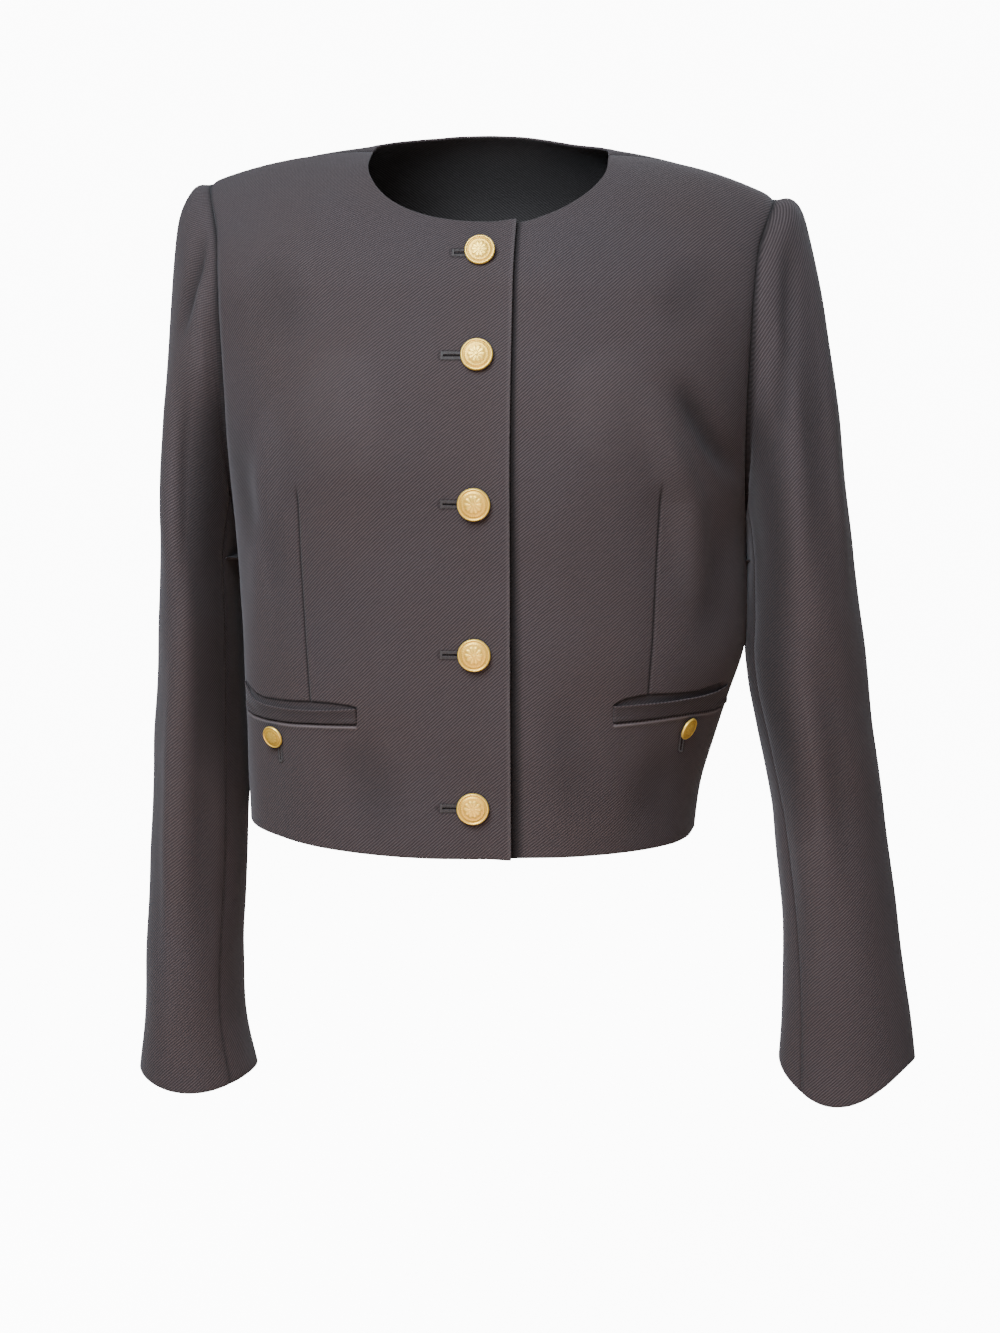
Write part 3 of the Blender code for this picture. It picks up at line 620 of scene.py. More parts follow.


# %% [markdown]
# ## Listed creases
# The photograph shows heavy cloth with few folds: a soft ridge below each bust dart, a dark hollow
# that runs from each armhole, and long shallow troughs down the sleeves. Each is a line of a few
# points, seen from the front or from behind, with a width and a height. A cloth simulation would
# make other folds than these, so they are listed one by one.

# %% Table of creases
# Columns: panel, facing (-1 the front, 1 the back), width, height, points as (x, height).
CREASES = (
    ("front_right", -1, 0.0090, 0.0030, ((-0.1265, -0.150), (-0.1383, -0.2106), (-0.1472, -0.345))),
    ("front_right", -1, 0.0120, -0.0028,
     ((-0.165, -0.160), (-0.154, -0.215), (-0.140, -0.250), (-0.130, -0.300))),
    ("front_right", -1, 0.0160, -0.0020, ((-0.095, -0.360), (-0.065, -0.400), (-0.055, -0.445))),
    ("front_right", -1, 0.0180, 0.0018, ((-0.080, -0.120), (-0.085, -0.160), (-0.078, -0.215))),
    ("front_right", -1, 0.0150, -0.0014, ((-0.140, -0.060), (-0.125, -0.095), (-0.118, -0.135))),
    ("front_left", -1, 0.0075, -0.0056,
     ((0.122, -0.138), (0.1344, -0.1624), (0.1480, -0.186), (0.1680, -0.218))),
    ("front_left", -1, 0.0090, 0.0050,
     ((0.100, -0.145), (0.1220, -0.190), (0.1348, -0.2221), (0.1402, -0.300))),
    ("front_left", -1, 0.0090, -0.0026, ((0.156, -0.225), (0.151, -0.270), (0.145, -0.330))),
    ("front_left", -1, 0.0130, -0.0020, ((0.130, -0.372), (0.112, -0.405), (0.105, -0.445))),
    ("front_left", -1, 0.0180, 0.0016, ((0.078, -0.120), (0.085, -0.160), (0.082, -0.205))),
    ("front_left", -1, 0.0160, -0.0016, ((0.150, -0.065), (0.132, -0.095), (0.115, -0.120))),
    ("front_left", -1, 0.0140, -0.0014, ((0.045, -0.330), (0.060, -0.385), (0.062, -0.440))),
    ("sleeve_right", -1, 0.0042, -0.0050,
     ((-0.180, -0.040), (-0.185, -0.0719), (-0.1937, -0.1028), (-0.2000, -0.130))),
    ("sleeve_right", -1, 0.0070, -0.0036,
     ((-0.1960, -0.115), (-0.1917, -0.1733), (-0.1915, -0.2154), (-0.190, -0.310))),
    ("sleeve_right", -1, 0.0055, 0.0026,
     ((-0.1890, -0.0700), (-0.1813, -0.1093), (-0.1785, -0.170))),
    ("sleeve_right", -1, 0.0070, 0.0030, ((-0.2030, -0.120), (-0.2060, -0.200), (-0.2040, -0.300))),
    ("sleeve_right", -1, 0.0060, 0.0030,
     ((-0.1960, -0.270), (-0.2059, -0.3958), (-0.2118, -0.610))),
    ("sleeve_right", -1, 0.0090, -0.0026,
     ((-0.1820, -0.300), (-0.1850, -0.420), (-0.1900, -0.560))),
    ("sleeve_right", -1, 0.0090, -0.0022,
     ((-0.2180, -0.290), (-0.2220, -0.420), (-0.2240, -0.560))),
    ("sleeve_left", -1, 0.0050, -0.0034, ((0.1935, -0.040), (0.1945, -0.0777), (0.1950, -0.150))),
    ("sleeve_left", -1, 0.0060, -0.0030, ((0.1960, -0.110), (0.1914, -0.1473), (0.1840, -0.205))),
    ("sleeve_left", -1, 0.0045, 0.0030,
     ((0.2054, -0.0377), (0.2186, -0.1285), (0.2277, -0.2303), (0.2380, -0.330))),
    ("sleeve_left", -1, 0.0080, -0.0024, ((0.2050, -0.110), (0.2120, -0.200), (0.2180, -0.300))),
    ("sleeve_left", -1, 0.0090, -0.0026, ((0.2120, -0.290), (0.2260, -0.380), (0.2400, -0.500))),
    ("sleeve_left", -1, 0.0090, 0.0024, ((0.1950, -0.300), (0.2100, -0.440), (0.2200, -0.580))),
    ("back", 1, 0.0110, 0.0028, ((-0.138, -0.140), (-0.145, -0.200), (-0.143, -0.300))),
    ("back", 1, 0.0100, -0.0030, ((-0.120, -0.150), (-0.128, -0.230), (-0.120, -0.310))),
    ("back", 1, 0.0110, 0.0028, ((0.138, -0.140), (0.145, -0.200), (0.143, -0.290))),
    ("back", 1, 0.0100, -0.0032, ((0.118, -0.140), (0.128, -0.215), (0.118, -0.300))),
    ("back", 1, 0.0180, -0.0026, ((0.010, -0.250), (0.000, -0.330), (-0.006, -0.420))),
    ("back", 1, 0.0160, -0.0018, ((-0.075, -0.060), (-0.020, -0.075), (0.050, -0.065))),
    ("sleeve_right", 1, 0.0080, -0.0036, ((-0.1900, -0.120), (-0.1880, -0.240), (-0.1860, -0.360))),
    ("sleeve_right", 1, 0.0070, 0.0028, ((-0.2040, -0.200), (-0.2080, -0.360), (-0.2140, -0.560))),
    ("sleeve_left", 1, 0.0080, -0.0036, ((0.1950, -0.110), (0.1980, -0.230), (0.2060, -0.350))),
    ("sleeve_left", 1, 0.0070, 0.0028, ((0.2160, -0.200), (0.2260, -0.360), (0.2420, -0.560))),
)
CREASE_FADE = 0.42
CREASE_FACES = (0.02, 0.40)


def line_distance(across, up, points):
    """Distance of each place from a line of points, and how far along the line its foot is, 0 to 1."""
    points = np.array(points)
    spans = np.diff(points, axis=0)
    lengths = np.linalg.norm(spans, axis=1)
    starts = np.concatenate([[0.0], np.cumsum(lengths)[:-1]])
    nearest = np.full(np.shape(across), np.inf)
    along = np.zeros(np.shape(across))
    for start, span, length, begun in zip(points, spans, lengths, starts):
        off_x, off_z = across - start[0], up - start[1]
        share = np.clip((off_x * span[0] + off_z * span[1]) / length ** 2, 0.0, 1.0)
        distance = np.hypot(off_x - share * span[0], off_z - share * span[1])
        closer = distance < nearest
        nearest = np.where(closer, distance, nearest)
        along = np.where(closer, (begun + share * length) / lengths.sum(), along)
    return nearest, along


def creased(points, normals, panel):
    """How far the listed creases move each point out."""
    moved = np.zeros(len(points))
    for name, facing, width, height, line in CREASES:
        if name != panel:
            continue
        distance, along = line_distance(points[:, 0], points[:, 2], line)
        faces = smooth_step(facing * normals[:, 1], *CREASE_FACES)
        ends = smooth_step(along, 0.0, CREASE_FADE) * (1.0 - smooth_step(along, 1.0 - CREASE_FADE, 1.0))
        moved += height * bell(distance, width) * faces * ends
    return moved


print("creases:", len(CREASES))

# %% [markdown]
# Between the named creases the cloth is never quite even. A few long, crossing waves with a fixed
# seed give the slow swell of a wool cloth, and shorter ones a trace of handling.

# %% Slow swell of the cloth
def waves(points, lengths, height, seed):
    """Sum of crossing waves with lengths in metres, about height high."""
    random = np.random.default_rng(seed)
    total = np.zeros(len(points))
    for length in lengths:
        direction = random.normal(size=3) * (1.0, 1.0, 0.6)
        direction /= np.linalg.norm(direction)
        total += np.sin(points @ direction * 2 * math.pi / length + random.uniform(0, 2 * math.pi))
    return height * total / math.sqrt(len(lengths))


LONG_WAVES = np.linspace(0.060, 0.150, 9)
SHORT_WAVES = np.linspace(0.018, 0.040, 8)
LONG_HEIGHT, LONG_SEED = 0.00080, 3
SHORT_HEIGHT, SHORT_SEED = 0.00009, 8


def swell(points):
    """Long and short unevenness together."""
    long = waves(points, LONG_WAVES, LONG_HEIGHT, LONG_SEED)
    return long + waves(points, SHORT_WAVES, SHORT_HEIGHT, SHORT_SEED)


print("long waves:", LONG_WAVES.round(3))

# %% [markdown]
# ## Pockets, darts and buttonholes in the cloth
# A dart is a fold sewn away inside: outside it is a thin line with the cloth pulled in beside it. A
# welt pocket is a cut: the cloth above ends in a lip, and a strip of the inner cloth shows before the
# welt. Both are pressed into the panel's own points, so the panel is divided finer around them.
# Their shade and the light on their edges are painted into the cloth's colour.

# %% Sewn lines of the fronts
DARTS = {
    -1: ((-0.1141, -0.2085), (-0.1125, -0.2602), (-0.1101, -0.3113), (-0.1074, -0.3500)),
    1: ((0.1169, -0.2075), (0.1141, -0.2587), (0.1120, -0.3091), (0.1093, -0.3440)),
}
POCKET_LIP = {
    -1: ((-0.0745, -0.3526), (-0.0800, -0.3513), (-0.0927, -0.3503), (-0.1046, -0.3503), (-0.1233, -0.3512),
         (-0.1417, -0.3516), (-0.1480, -0.3502), (-0.1530, -0.3474), (-0.1575, -0.3438)),
    1: ((0.0866, -0.3498), (0.0942, -0.3461), (0.1034, -0.3447), (0.1150, -0.3443), (0.1282, -0.3446),
        (0.1400, -0.3444), (0.1471, -0.3428), (0.1560, -0.3410)),
}
WELT_TOP = {
    -1: ((-0.0745, -0.3529), (-0.0900, -0.3544), (-0.1044, -0.3555), (-0.1234, -0.3562), (-0.1363, -0.3559),
         (-0.1448, -0.3548), (-0.1497, -0.3524), (-0.1530, -0.3486), (-0.1575, -0.3446)),
    1: ((0.0866, -0.3504), (0.1034, -0.3494), (0.1146, -0.3490), (0.1283, -0.3482), (0.1408, -0.3472),
        (0.1503, -0.3460), (0.1580, -0.3435)),
}
WELT_BOTTOM = {
    -1: ((-0.0745, -0.3632), (-0.1045, -0.3644), (-0.1211, -0.3653), (-0.1391, -0.3655), (-0.1496, -0.3648),
         (-0.1575, -0.3626)),
    1: ((0.0866, -0.3612), (0.1034, -0.3604), (0.1208, -0.3594), (0.1345, -0.3588), (0.1440, -0.3590),
        (0.1510, -0.3588), (0.1580, -0.3575)),
}
# Painted shade in the recess of each pocket, by side.
RECESS_SHADE = {-1: 0.20, 1: 0.50}
# Columns: x, height, diameter, outer end of the buttonhole.
FRONT_BUTTONS = (
    (0.0020, -0.0680, 0.0190, -0.0145),
    (0.0020, -0.1315, 0.0202, -0.0195),
    (0.0010, -0.2230, 0.0207, -0.0188),
    (0.0007, -0.3172, 0.0207, -0.0195),
    (-0.0007, -0.4150, 0.0205, -0.0202),
)
POCKET_BUTTON_PLACE = {1: (0.1316, -0.368), -1: (-0.1312, -0.3755)}
# Tilts are degrees about Z and X, by the button's number or side.
FRONT_BUTTON_TILT = {1: (0.0, 20.0), 2: (0.0, 4.0)}
POCKET_BUTTON_TILT = {1: (6.0, 16.0), -1: (18.0, 24.0)}
HOLE_INNER_END = 0.0030
HOLE_LOWER = 0.0002
POCKET_HOLE_ENDS = (0.004, 0.0155)
POCKET_HOLE_LEAN = (0.6, 0.0030)

# Widths and heights of what is pressed into the cloth.
DART_GROOVE = (0.0009, -0.0011)
DART_HOLLOW = (0.0090, -0.0010)
DART_FADE = 0.12
LIP_STEP = 0.0010
POCKET_DEPTH = 0.0013
POCKET_END_FADES = (0.0010, 0.0030)
RECESS_RISE = (0.0005, 0.0060)
WELT_SEAM_GROOVE = (0.0010, -0.0009)
WELT_SEAM_RIDGE = (0.0012, 0.0007)
RIDGE_BELOW_SEAM = 0.0021
HOLE_GROOVE = (0.0008, -0.0010)
LAP_LIFT = (0.0010, 0.0040)
LAP_LIFT_REACH = 0.015
LAP_LIFT_HEIGHTS = (0.05, 0.45)
FRONT_FACES = (0.0, 0.15)

# Widths and strengths of painted shade in grooves, slits and shadows, and of painted highlights on raised
# ridges and folded edges.
DART_PAINTED_SHADE = (0.0007, 0.9)
DART_PAINTED_SHADE_FADE = 0.10
LIP_PAINTED_SHADE = (0.0008, 1.0)
LIP_PAINTED_SHADE_BELOW = 0.0006
WELT_SEAM_PAINTED_SHADE = 0.9
RIDGE_PAINTED_HIGHLIGHT = (0.0008, 0.8)
HOLE_PAINTED_SHADE = (0.0009, 1.0)
OUTLINE_PAINTED_SHADE = (0.0005, 0.6)
OUTLINE_DISTANCE = {"front": 0.0028, "pocket": 0.0018}
LAP_PAINTED_HIGHLIGHT = (0.0010, 0.45)
LAP_PAINTED_HIGHLIGHT_INSET = 0.0008
LAP_PAINTED_SHADOW = 0.93
LAP_PAINTED_SHADOW_WIDTH = (0.0032, 0.0072)
LAP_PAINTED_SHADOW_HEIGHTS = (0.06, 0.45)
LAP_PAINTED_SHADOW_EDGES = (0.35, 1.3)


def front_holes():
    """Buttonholes of the right front, each a short level line."""
    return [((end, z - HOLE_LOWER), (HOLE_INNER_END, z - HOLE_LOWER)) for _, z, _, end in FRONT_BUTTONS]


def pocket_hole(side):
    """The short slit below a pocket button, nearly upright."""
    x, z = POCKET_BUTTON_PLACE[side]
    upper, lower = POCKET_HOLE_ENDS
    upper_share, lean = POCKET_HOLE_LEAN
    lean *= side
    return ((x - lean * upper_share, z - upper), (x - lean, z - lower))


def height_on(points, across):
    """Height of a line of points at x, level past its ends."""
    table = np.array(points)
    order = np.argsort(table[:, 0])
    return np.interp(across, table[order, 0], table[order, 1])


def add_painted_shade(dark, shape):
    """Add painted shade where it is darker than what is there."""
    np.maximum(dark, shape, out=dark)


def press_dart(across, up, side, moved, dark):
    """A thin line in a wide hollow, fading out at the dart's upper end, with painted shade along the line.
    """
    distance, along = line_distance(across, up, DARTS[side])
    for width, height in (DART_GROOVE, DART_HOLLOW):
        moved += height * bell(distance, width) * smooth_step(along, 0.0, DART_FADE)
    width, strength = DART_PAINTED_SHADE
    add_painted_shade(dark, strength * bell(distance, width) * smooth_step(along, 0.0, DART_PAINTED_SHADE_FADE))


def press_pocket(across, up, side, moved, dark):
    """Lip, recess and welt seam of a pocket, with painted shade under the lip, in the recess and at the
    seam.
    Gives back the painted highlight on the ridge below the seam.
    """
    lip, top, bottom = (np.array(line[side]) for line in (POCKET_LIP, WELT_TOP, WELT_BOTTOM))
    inner_fade, outer_fade = POCKET_END_FADES
    from_inner, from_outer = side * (across - lip[0, 0]), side * (lip[-1, 0] - across)
    inside = smooth_step(from_inner, 0.0, inner_fade) * smooth_step(from_outer, 0.0, outer_fade)
    under_lip = height_on(lip, across) - up
    below_lip = smooth_step(under_lip, -LIP_STEP / 2, LIP_STEP / 2)
    above_seam = smooth_step(up - height_on(bottom, across), *RECESS_RISE)
    moved -= POCKET_DEPTH * inside * below_lip * above_seam
    width, strength = LIP_PAINTED_SHADE
    add_painted_shade(dark, strength * inside * bell(under_lip - LIP_PAINTED_SHADE_BELOW, width))
    above_welt = smooth_step(up - height_on(top, across), -LIP_STEP, 0.0)
    add_painted_shade(dark, RECESS_SHADE[side] * inside * below_lip * above_welt)
    distance, _ = line_distance(across, up, bottom)
    width, height = WELT_SEAM_GROOVE
    moved += height * bell(distance, width) * inside
    add_painted_shade(dark, WELT_SEAM_PAINTED_SHADE * inside * bell(distance, width))
    off_ridge = height_on(bottom, across) - RIDGE_BELOW_SEAM - up
    width, height = WELT_SEAM_RIDGE
    moved += height * bell(off_ridge, width) * inside
    width, strength = RIDGE_PAINTED_HIGHLIGHT
    return strength * bell(off_ridge, width) * inside


def press_holes(across, up, side, moved, dark):
    """Slits of the buttonholes, with painted shade in the slit and a fine painted dark line round their
    stitches.
    """
    holes = [(pocket_hole(side), OUTLINE_DISTANCE["pocket"])]
    if side < 0:
        holes += [(hole, OUTLINE_DISTANCE["front"]) for hole in front_holes()]
    for hole, outline_distance in holes:
        distance, _ = line_distance(across, up, hole)
        width, height = HOLE_GROOVE
        moved += height * bell(distance, width)
        width, strength = OUTLINE_PAINTED_SHADE
        add_painted_shade(dark, strength * bell(distance - outline_distance, width))
        width, strength = HOLE_PAINTED_SHADE
        add_painted_shade(dark, strength * bell(distance, width))


def lift_lap(across, up, moved):
    """The lapping edge stands off, more towards the hem. Gives back the painted highlight on its fold."""
    at_neck, at_hem = LAP_LIFT
    lift = at_neck + (at_hem - at_neck) * smooth_step(-up, *LAP_LIFT_HEIGHTS)
    moved += lift * smooth_step(across, LAP - LAP_LIFT_REACH, LAP)
    width, strength = LAP_PAINTED_HIGHLIGHT
    return strength * bell(LAP - LAP_PAINTED_HIGHLIGHT_INSET - across, width)


def shade_under_lap(across, up, dark):
    """The painted shadow that the lapping edge casts on the left front."""
    at_neck, at_hem = LAP_PAINTED_SHADOW_WIDTH
    wide = at_neck + (at_hem - at_neck) * smooth_step(-up, *LAP_PAINTED_SHADOW_HEIGHTS)
    near, far = LAP_PAINTED_SHADOW_EDGES
    add_painted_shade(dark, LAP_PAINTED_SHADOW * (1.0 - smooth_step(across - LAP, wide * near, wide * far)))


def sewn(points, normals, side):
    """How far a front's sewing moves its points, and the painted shade, or below 0 the painted highlight,
    it puts on them.
    """
    place = points[:, 0], points[:, 2]
    moved, dark = np.zeros(len(points)), np.zeros(len(points))
    press_dart(*place, side, moved, dark)
    light = press_pocket(*place, side, moved, dark)
    press_holes(*place, side, moved, dark)
    if side < 0:
        light = np.maximum(light, lift_lap(*place, moved))
    else:
        shade_under_lap(*place, dark)
    faces = smooth_step(-normals[:, 1], *FRONT_FACES)
    return moved * faces, (dark - light) * faces


def sewn_lines(side):
    """Lines round which a front is divided finer, with the reach on both sides."""
    lines = [(DARTS[side], 0.0035), (POCKET_LIP[side], 0.0030), (WELT_BOTTOM[side], 0.0045)]
    lines.append((pocket_hole(side), 0.0030))
    if side < 0:
        lines += [(hole, 0.0040) for hole in front_holes()]
    return lines


print("buttonholes:", len(front_holes()))

# %% [markdown]
# ## Twill, metal and thread
# The cloth is a wool twill: its ribs run up to the right at about 40 degrees, 1.6 mm apart. Colour,
# bump and sheen together make it. The rib is a node group, because the outside and the inside both
# use it. Colours are kept a little lighter than black, as the wool's fibres catch light.

# %% A node group for the twill
RIB_SPACING = 0.00161
RIB_ANGLE = math.radians(40.0)
RIB_WANDER = 1.6
YARN_SPACING = RIB_SPACING * 0.62
YARN_WAY = (1.0, 0.35, 0.0)
RIB_HEIGHT, YARN_HEIGHT, FUZZ_HEIGHT = 0.70, 0.30, 0.25
RIB_SHADE, YARN_SHADE, FUZZ_SHADE = 0.44, 0.50, 0.9


def socket(group, name, kind, output=False):
    """A named input or output of a node group."""
    group.interface.new_socket(name=name, in_out="OUTPUT" if output else "INPUT", socket_type=kind)


def fill(node, inputs):
    """Give a node's inputs a number, a colour or another node's output."""
    for name, value in inputs.items():
        if isinstance(value, bpy.types.NodeSocket):
            node.id_data.links.new(value, node.inputs[name])
        else:
            node.inputs[name].default_value = value


def add_node(tree, kind, inputs=None, **settings):
    """A node with its own settings, such as operation, and its inputs."""
    made = tree.nodes.new(kind)
    for name, value in settings.items():
        setattr(made, name, value)
    fill(made, inputs or {})
    return made


def maths(tree, operation, *values):
    """A Math node whose inputs are numbers or outputs."""
    return add_node(tree, "ShaderNodeMath", dict(enumerate(values)), operation=operation).outputs[0]


def noise(tree, place, scale, detail=2.0, roughness=0.5):
    """A Noise node read at a place."""
    inputs = {"Vector": place, "Scale": scale, "Detail": detail, "Roughness": roughness}
    return add_node(tree, "ShaderNodeTexNoise", inputs).outputs["Fac"]


def along(tree, place, way):
    """How far a place lies along a direction."""
    node = add_node(tree, "ShaderNodeVectorMath", {0: place, 1: way}, operation="DOT_PRODUCT")
    return node.outputs["Value"]


def ripple(tree, turn):
    """A sine wave between 0 and 1."""
    return maths(tree, "MULTIPLY_ADD", maths(tree, "SINE", turn), 0.5, 0.5)


def off_middle(tree, value):
    """How far a noise is from its middle."""
    return maths(tree, "SUBTRACT", value, 0.5)


def twill_group():
    """Ribs, yarn twist and fibre fuzz as a height and as a light-and-dark mask."""
    tree = bpy.data.node_groups.new("twill ribs", "ShaderNodeTree")
    socket(tree, "Flat place", "NodeSocketVector")
    socket(tree, "Object place", "NodeSocketVector")
    for name in ("Height", "Shade", "Drift"):
        socket(tree, name, "NodeSocketFloat", output=True)
    enter = add_node(tree, "NodeGroupInput")
    flat, place = enter.outputs["Flat place"], enter.outputs["Object place"]

    wander = off_middle(tree, noise(tree, flat, 90.0))
    rib_way = (-math.sin(RIB_ANGLE), math.cos(RIB_ANGLE), 0.0)
    turn = maths(tree, "MULTIPLY", along(tree, flat, rib_way), 2 * math.pi / RIB_SPACING)
    rib = ripple(tree, maths(tree, "MULTIPLY_ADD", wander, RIB_WANDER, turn))
    turn = maths(tree, "MULTIPLY", along(tree, flat, YARN_WAY), 2 * math.pi / YARN_SPACING)
    yarn = maths(tree, "MULTIPLY", ripple(tree, turn), rib)
    fuzz = noise(tree, place, 1500.0, detail=3.0, roughness=0.7)

    height = maths(tree, "MULTIPLY_ADD", rib, RIB_HEIGHT, maths(tree, "MULTIPLY", yarn, YARN_HEIGHT))
    height = maths(tree, "MULTIPLY_ADD", fuzz, FUZZ_HEIGHT, height)
    shade = maths(tree, "MULTIPLY_ADD", rib, RIB_SHADE, maths(tree, "MULTIPLY", yarn, YARN_SHADE))
    shade = maths(tree, "MULTIPLY_ADD", off_middle(tree, fuzz), FUZZ_SHADE, shade)
    drift = noise(tree, place, 9.0, detail=3.0)
    add_node(tree, "NodeGroupOutput", {"Height": height, "Shade": shade, "Drift": drift})
    return tree


twill = twill_group()
print("node group:", twill.name, [item.name for item in twill.interface.items_tree])

# %% [markdown]
# The cloth's colour is a mix of the rib's groove and its top, and then of a bluer and a browner wool,
# because the photograph drifts between the two. Sheen gives the pale edge that wool shows where the
# surface turns away.

# %% Cloth materials
# Painted light on the cloth: a lighter grey for painted highlights on ridges and folded edges, near black
# for painted shade and shadows.
PAINTED_HIGHLIGHT_COLOUR = (0.125, 0.108, 0.112, 1.0)
PAINTED_SHADE_COLOUR = (0.004, 0.0035, 0.004, 1.0)
DRIFT_RANGE = (0.35, 0.65)


def new_material(name):
    """A material with its node tree and its shader."""
    made = bpy.data.materials.new(name)
    made.use_nodes = True
    return made, made.node_tree, made.node_tree.nodes["Principled BSDF"]


def object_place(tree):
    """The place on the object, in metres."""
    return add_node(tree, "ShaderNodeTexCoord").outputs["Object"]


def mixed(tree, factor, first, second):
    """A mix of two colours, each a colour or an output."""
    inputs = {0: factor, 6: first, 7: second}
    return add_node(tree, "ShaderNodeMix", inputs, data_type="RGBA").outputs[2]


def cloth_material(name, groove, rib_top, brown_top, rib_height):
    """A wool twill. The inside is given darker colours and a flatter rib."""
    material, tree, shader = new_material(name)
    flat = add_node(tree, "ShaderNodeUVMap", uv_map="flat_cut").outputs["UV"]
    places = {"Flat place": flat, "Object place": object_place(tree)}
    weave = add_node(tree, "ShaderNodeGroup", places, node_tree=twill).outputs
    low, high = DRIFT_RANGE
    span = {"Value": weave["Drift"], "From Min": low, "From Max": high}
    drift = add_node(tree, "ShaderNodeMapRange", span).outputs["Result"]
    top = mixed(tree, drift, (*rib_top, 1.0), (*brown_top, 1.0))
    colour = mixed(tree, weave["Shade"], (*groove, 1.0), top)
    # The attribute read here paints shade towards near black above 0, and highlights towards the lighter
    # grey below 0.
    painted_shading = add_node(tree, "ShaderNodeAttribute", attribute_name="painted_shading").outputs["Fac"]
    with_painted_highlight = mixed(tree, maths(tree, "MULTIPLY", painted_shading, -1.0), colour, PAINTED_HIGHLIGHT_COLOUR)
    bumps = {"Height": weave["Height"], "Strength": 0.8, "Distance": rib_height}
    fill(shader, {
        "Base Color": mixed(tree, painted_shading, with_painted_highlight, PAINTED_SHADE_COLOUR),
        "Normal": add_node(tree, "ShaderNodeBump", bumps).outputs["Normal"],
        "Roughness": 0.88,
        "Specular IOR Level": 0.25,
        "Sheen Weight": 0.11,
        "Sheen Roughness": 0.45,
        "Sheen Tint": (0.80, 0.82, 0.90, 1.0),
    })
    material.diffuse_color = (*rib_top, 1.0)
    return material


wool = cloth_material(
    "wool twill", (0.019, 0.014, 0.015), (0.074, 0.061, 0.066), (0.078, 0.058, 0.058), 0.00024
)
wool_inside = cloth_material(
    "wool twill inside", (0.016, 0.014, 0.014), (0.058, 0.054, 0.054), (0.055, 0.050, 0.049), 0.00012
)
print("cloth materials:", wool.name, "and", wool_inside.name)

# %% Thread for the buttonholes
def thread_material():
    """Smooth dark thread, a little lighter than the cloth."""
    material, tree, shader = new_material("buttonhole thread")
    uneven = noise(tree, object_place(tree), 900.0)
    fill(shader, {
        "Base Color": mixed(tree, uneven, (0.014, 0.012, 0.013, 1.0), (0.052, 0.046, 0.048, 1.0)),
        "Roughness": 0.6,
        "Sheen Weight": 0.2,
    })
    return material


thread = thread_material()
print("thread material:", thread.name)

# %% [markdown]
# ## The panels in cloth
# Every panel goes through the same steps: a flat bmesh grid takes the places of the table, the sewn
# lines are divided finer, the points move out or in by the creases and the sewing, and Solidify and
# Bevel give the wall and its folded edge. The rounded edges make the seams: two of them meet in a
# narrow groove.

# %% Make one sheet of cloth
EDGE_RADIUS = 0.0007
ROLL_RADIUS = 0.0008
ROLL_STEPS = 3
ALLOWANCE_DEPTHS = (0.002, 0.0045)
SEAM_FADE = 0.014
# Columns: width, depth, painted shade, width of the painted shade, what is added to that width lower down.
ARMHOLE_PULL = {
    "front": (0.0040, 0.0016, 0.90, 0.0015, 0.0004),
    "back": (0.0040, 0.0016, 0.90, 0.0015, 0.0004),
    "sleeve": (0.0040, 0.0016, 0.90, 0.0017, 0.0030),
}
SEAM_PULL = (0.0030, 0.0005, 0.50, 0.0010, 0.0)
LOWER_DOWN = (0.06, 0.20)
# A hollow of this depth gets the full painted shade, and a ridge of this height the full painted highlight.
HOLLOW_SHADE = (0.0045, 0.52)
RIDGE_SHINE = (0.0005, 0.04)
FAINT_SHADE = 0.03
FAINT_MARK = 0.02
BESIDE_BODY_SHADE = 0.55
BESIDE_BODY_START = (0.12, 0.18)
BESIDE_BODY_END = (0.36, 0.46)
BESIDE_BODY_TURN = (0.15, 0.75)


def new_object(name, data):
    """An object in the scene's own collection."""
    made = bpy.data.objects.new(name, data)
    bpy.context.scene.collection.objects.link(made)
    return made


def finished_mesh(shape, name):
    """A mesh from a bmesh, which is then let go."""
    mesh = bpy.data.meshes.new(name)
    shape.to_mesh(mesh)
    shape.free()
    return mesh


def grid_mesh(name, points, flat, outward):
    """A bmesh grid bent to a table of points, with the flat cut as its UV map."""
    rows, columns = points.shape[0] - 1, points.shape[1] - 1
    shape = bmesh.new()
    bmesh.ops.create_grid(shape, x_segments=columns, y_segments=rows, size=0.5)
    mesh = finished_mesh(shape, name)
    places = np.zeros(len(mesh.vertices) * 3)
    mesh.vertices.foreach_get("co", places)
    places = places.reshape(-1, 3)
    column = np.rint((places[:, 0] + 0.5) * columns).astype(int)
    row = np.rint((places[:, 1] + 0.5) * rows).astype(int)
    mesh.vertices.foreach_set("co", points[row, column].ravel())
    corner = np.zeros(len(mesh.loops), int)
    mesh.loops.foreach_get("vertex_index", corner)
    layer = mesh.uv_layers.new(name="flat_cut")
    layer.data.foreach_set("uv", flat[row, column][corner].ravel())
    push = mesh.attributes.new("push", "FLOAT_VECTOR", "POINT")
    push.data.foreach_set("vector", outward[row, column].astype(np.float32).ravel())
    mesh.update()
    middle = mesh.polygons[len(mesh.polygons) // 2]
    wanted = outward[row[middle.vertices[0]], column[middle.vertices[0]]]
    if middle.normal.dot(Vector(wanted)) < 0:
        mesh.flip_normals()
    return mesh


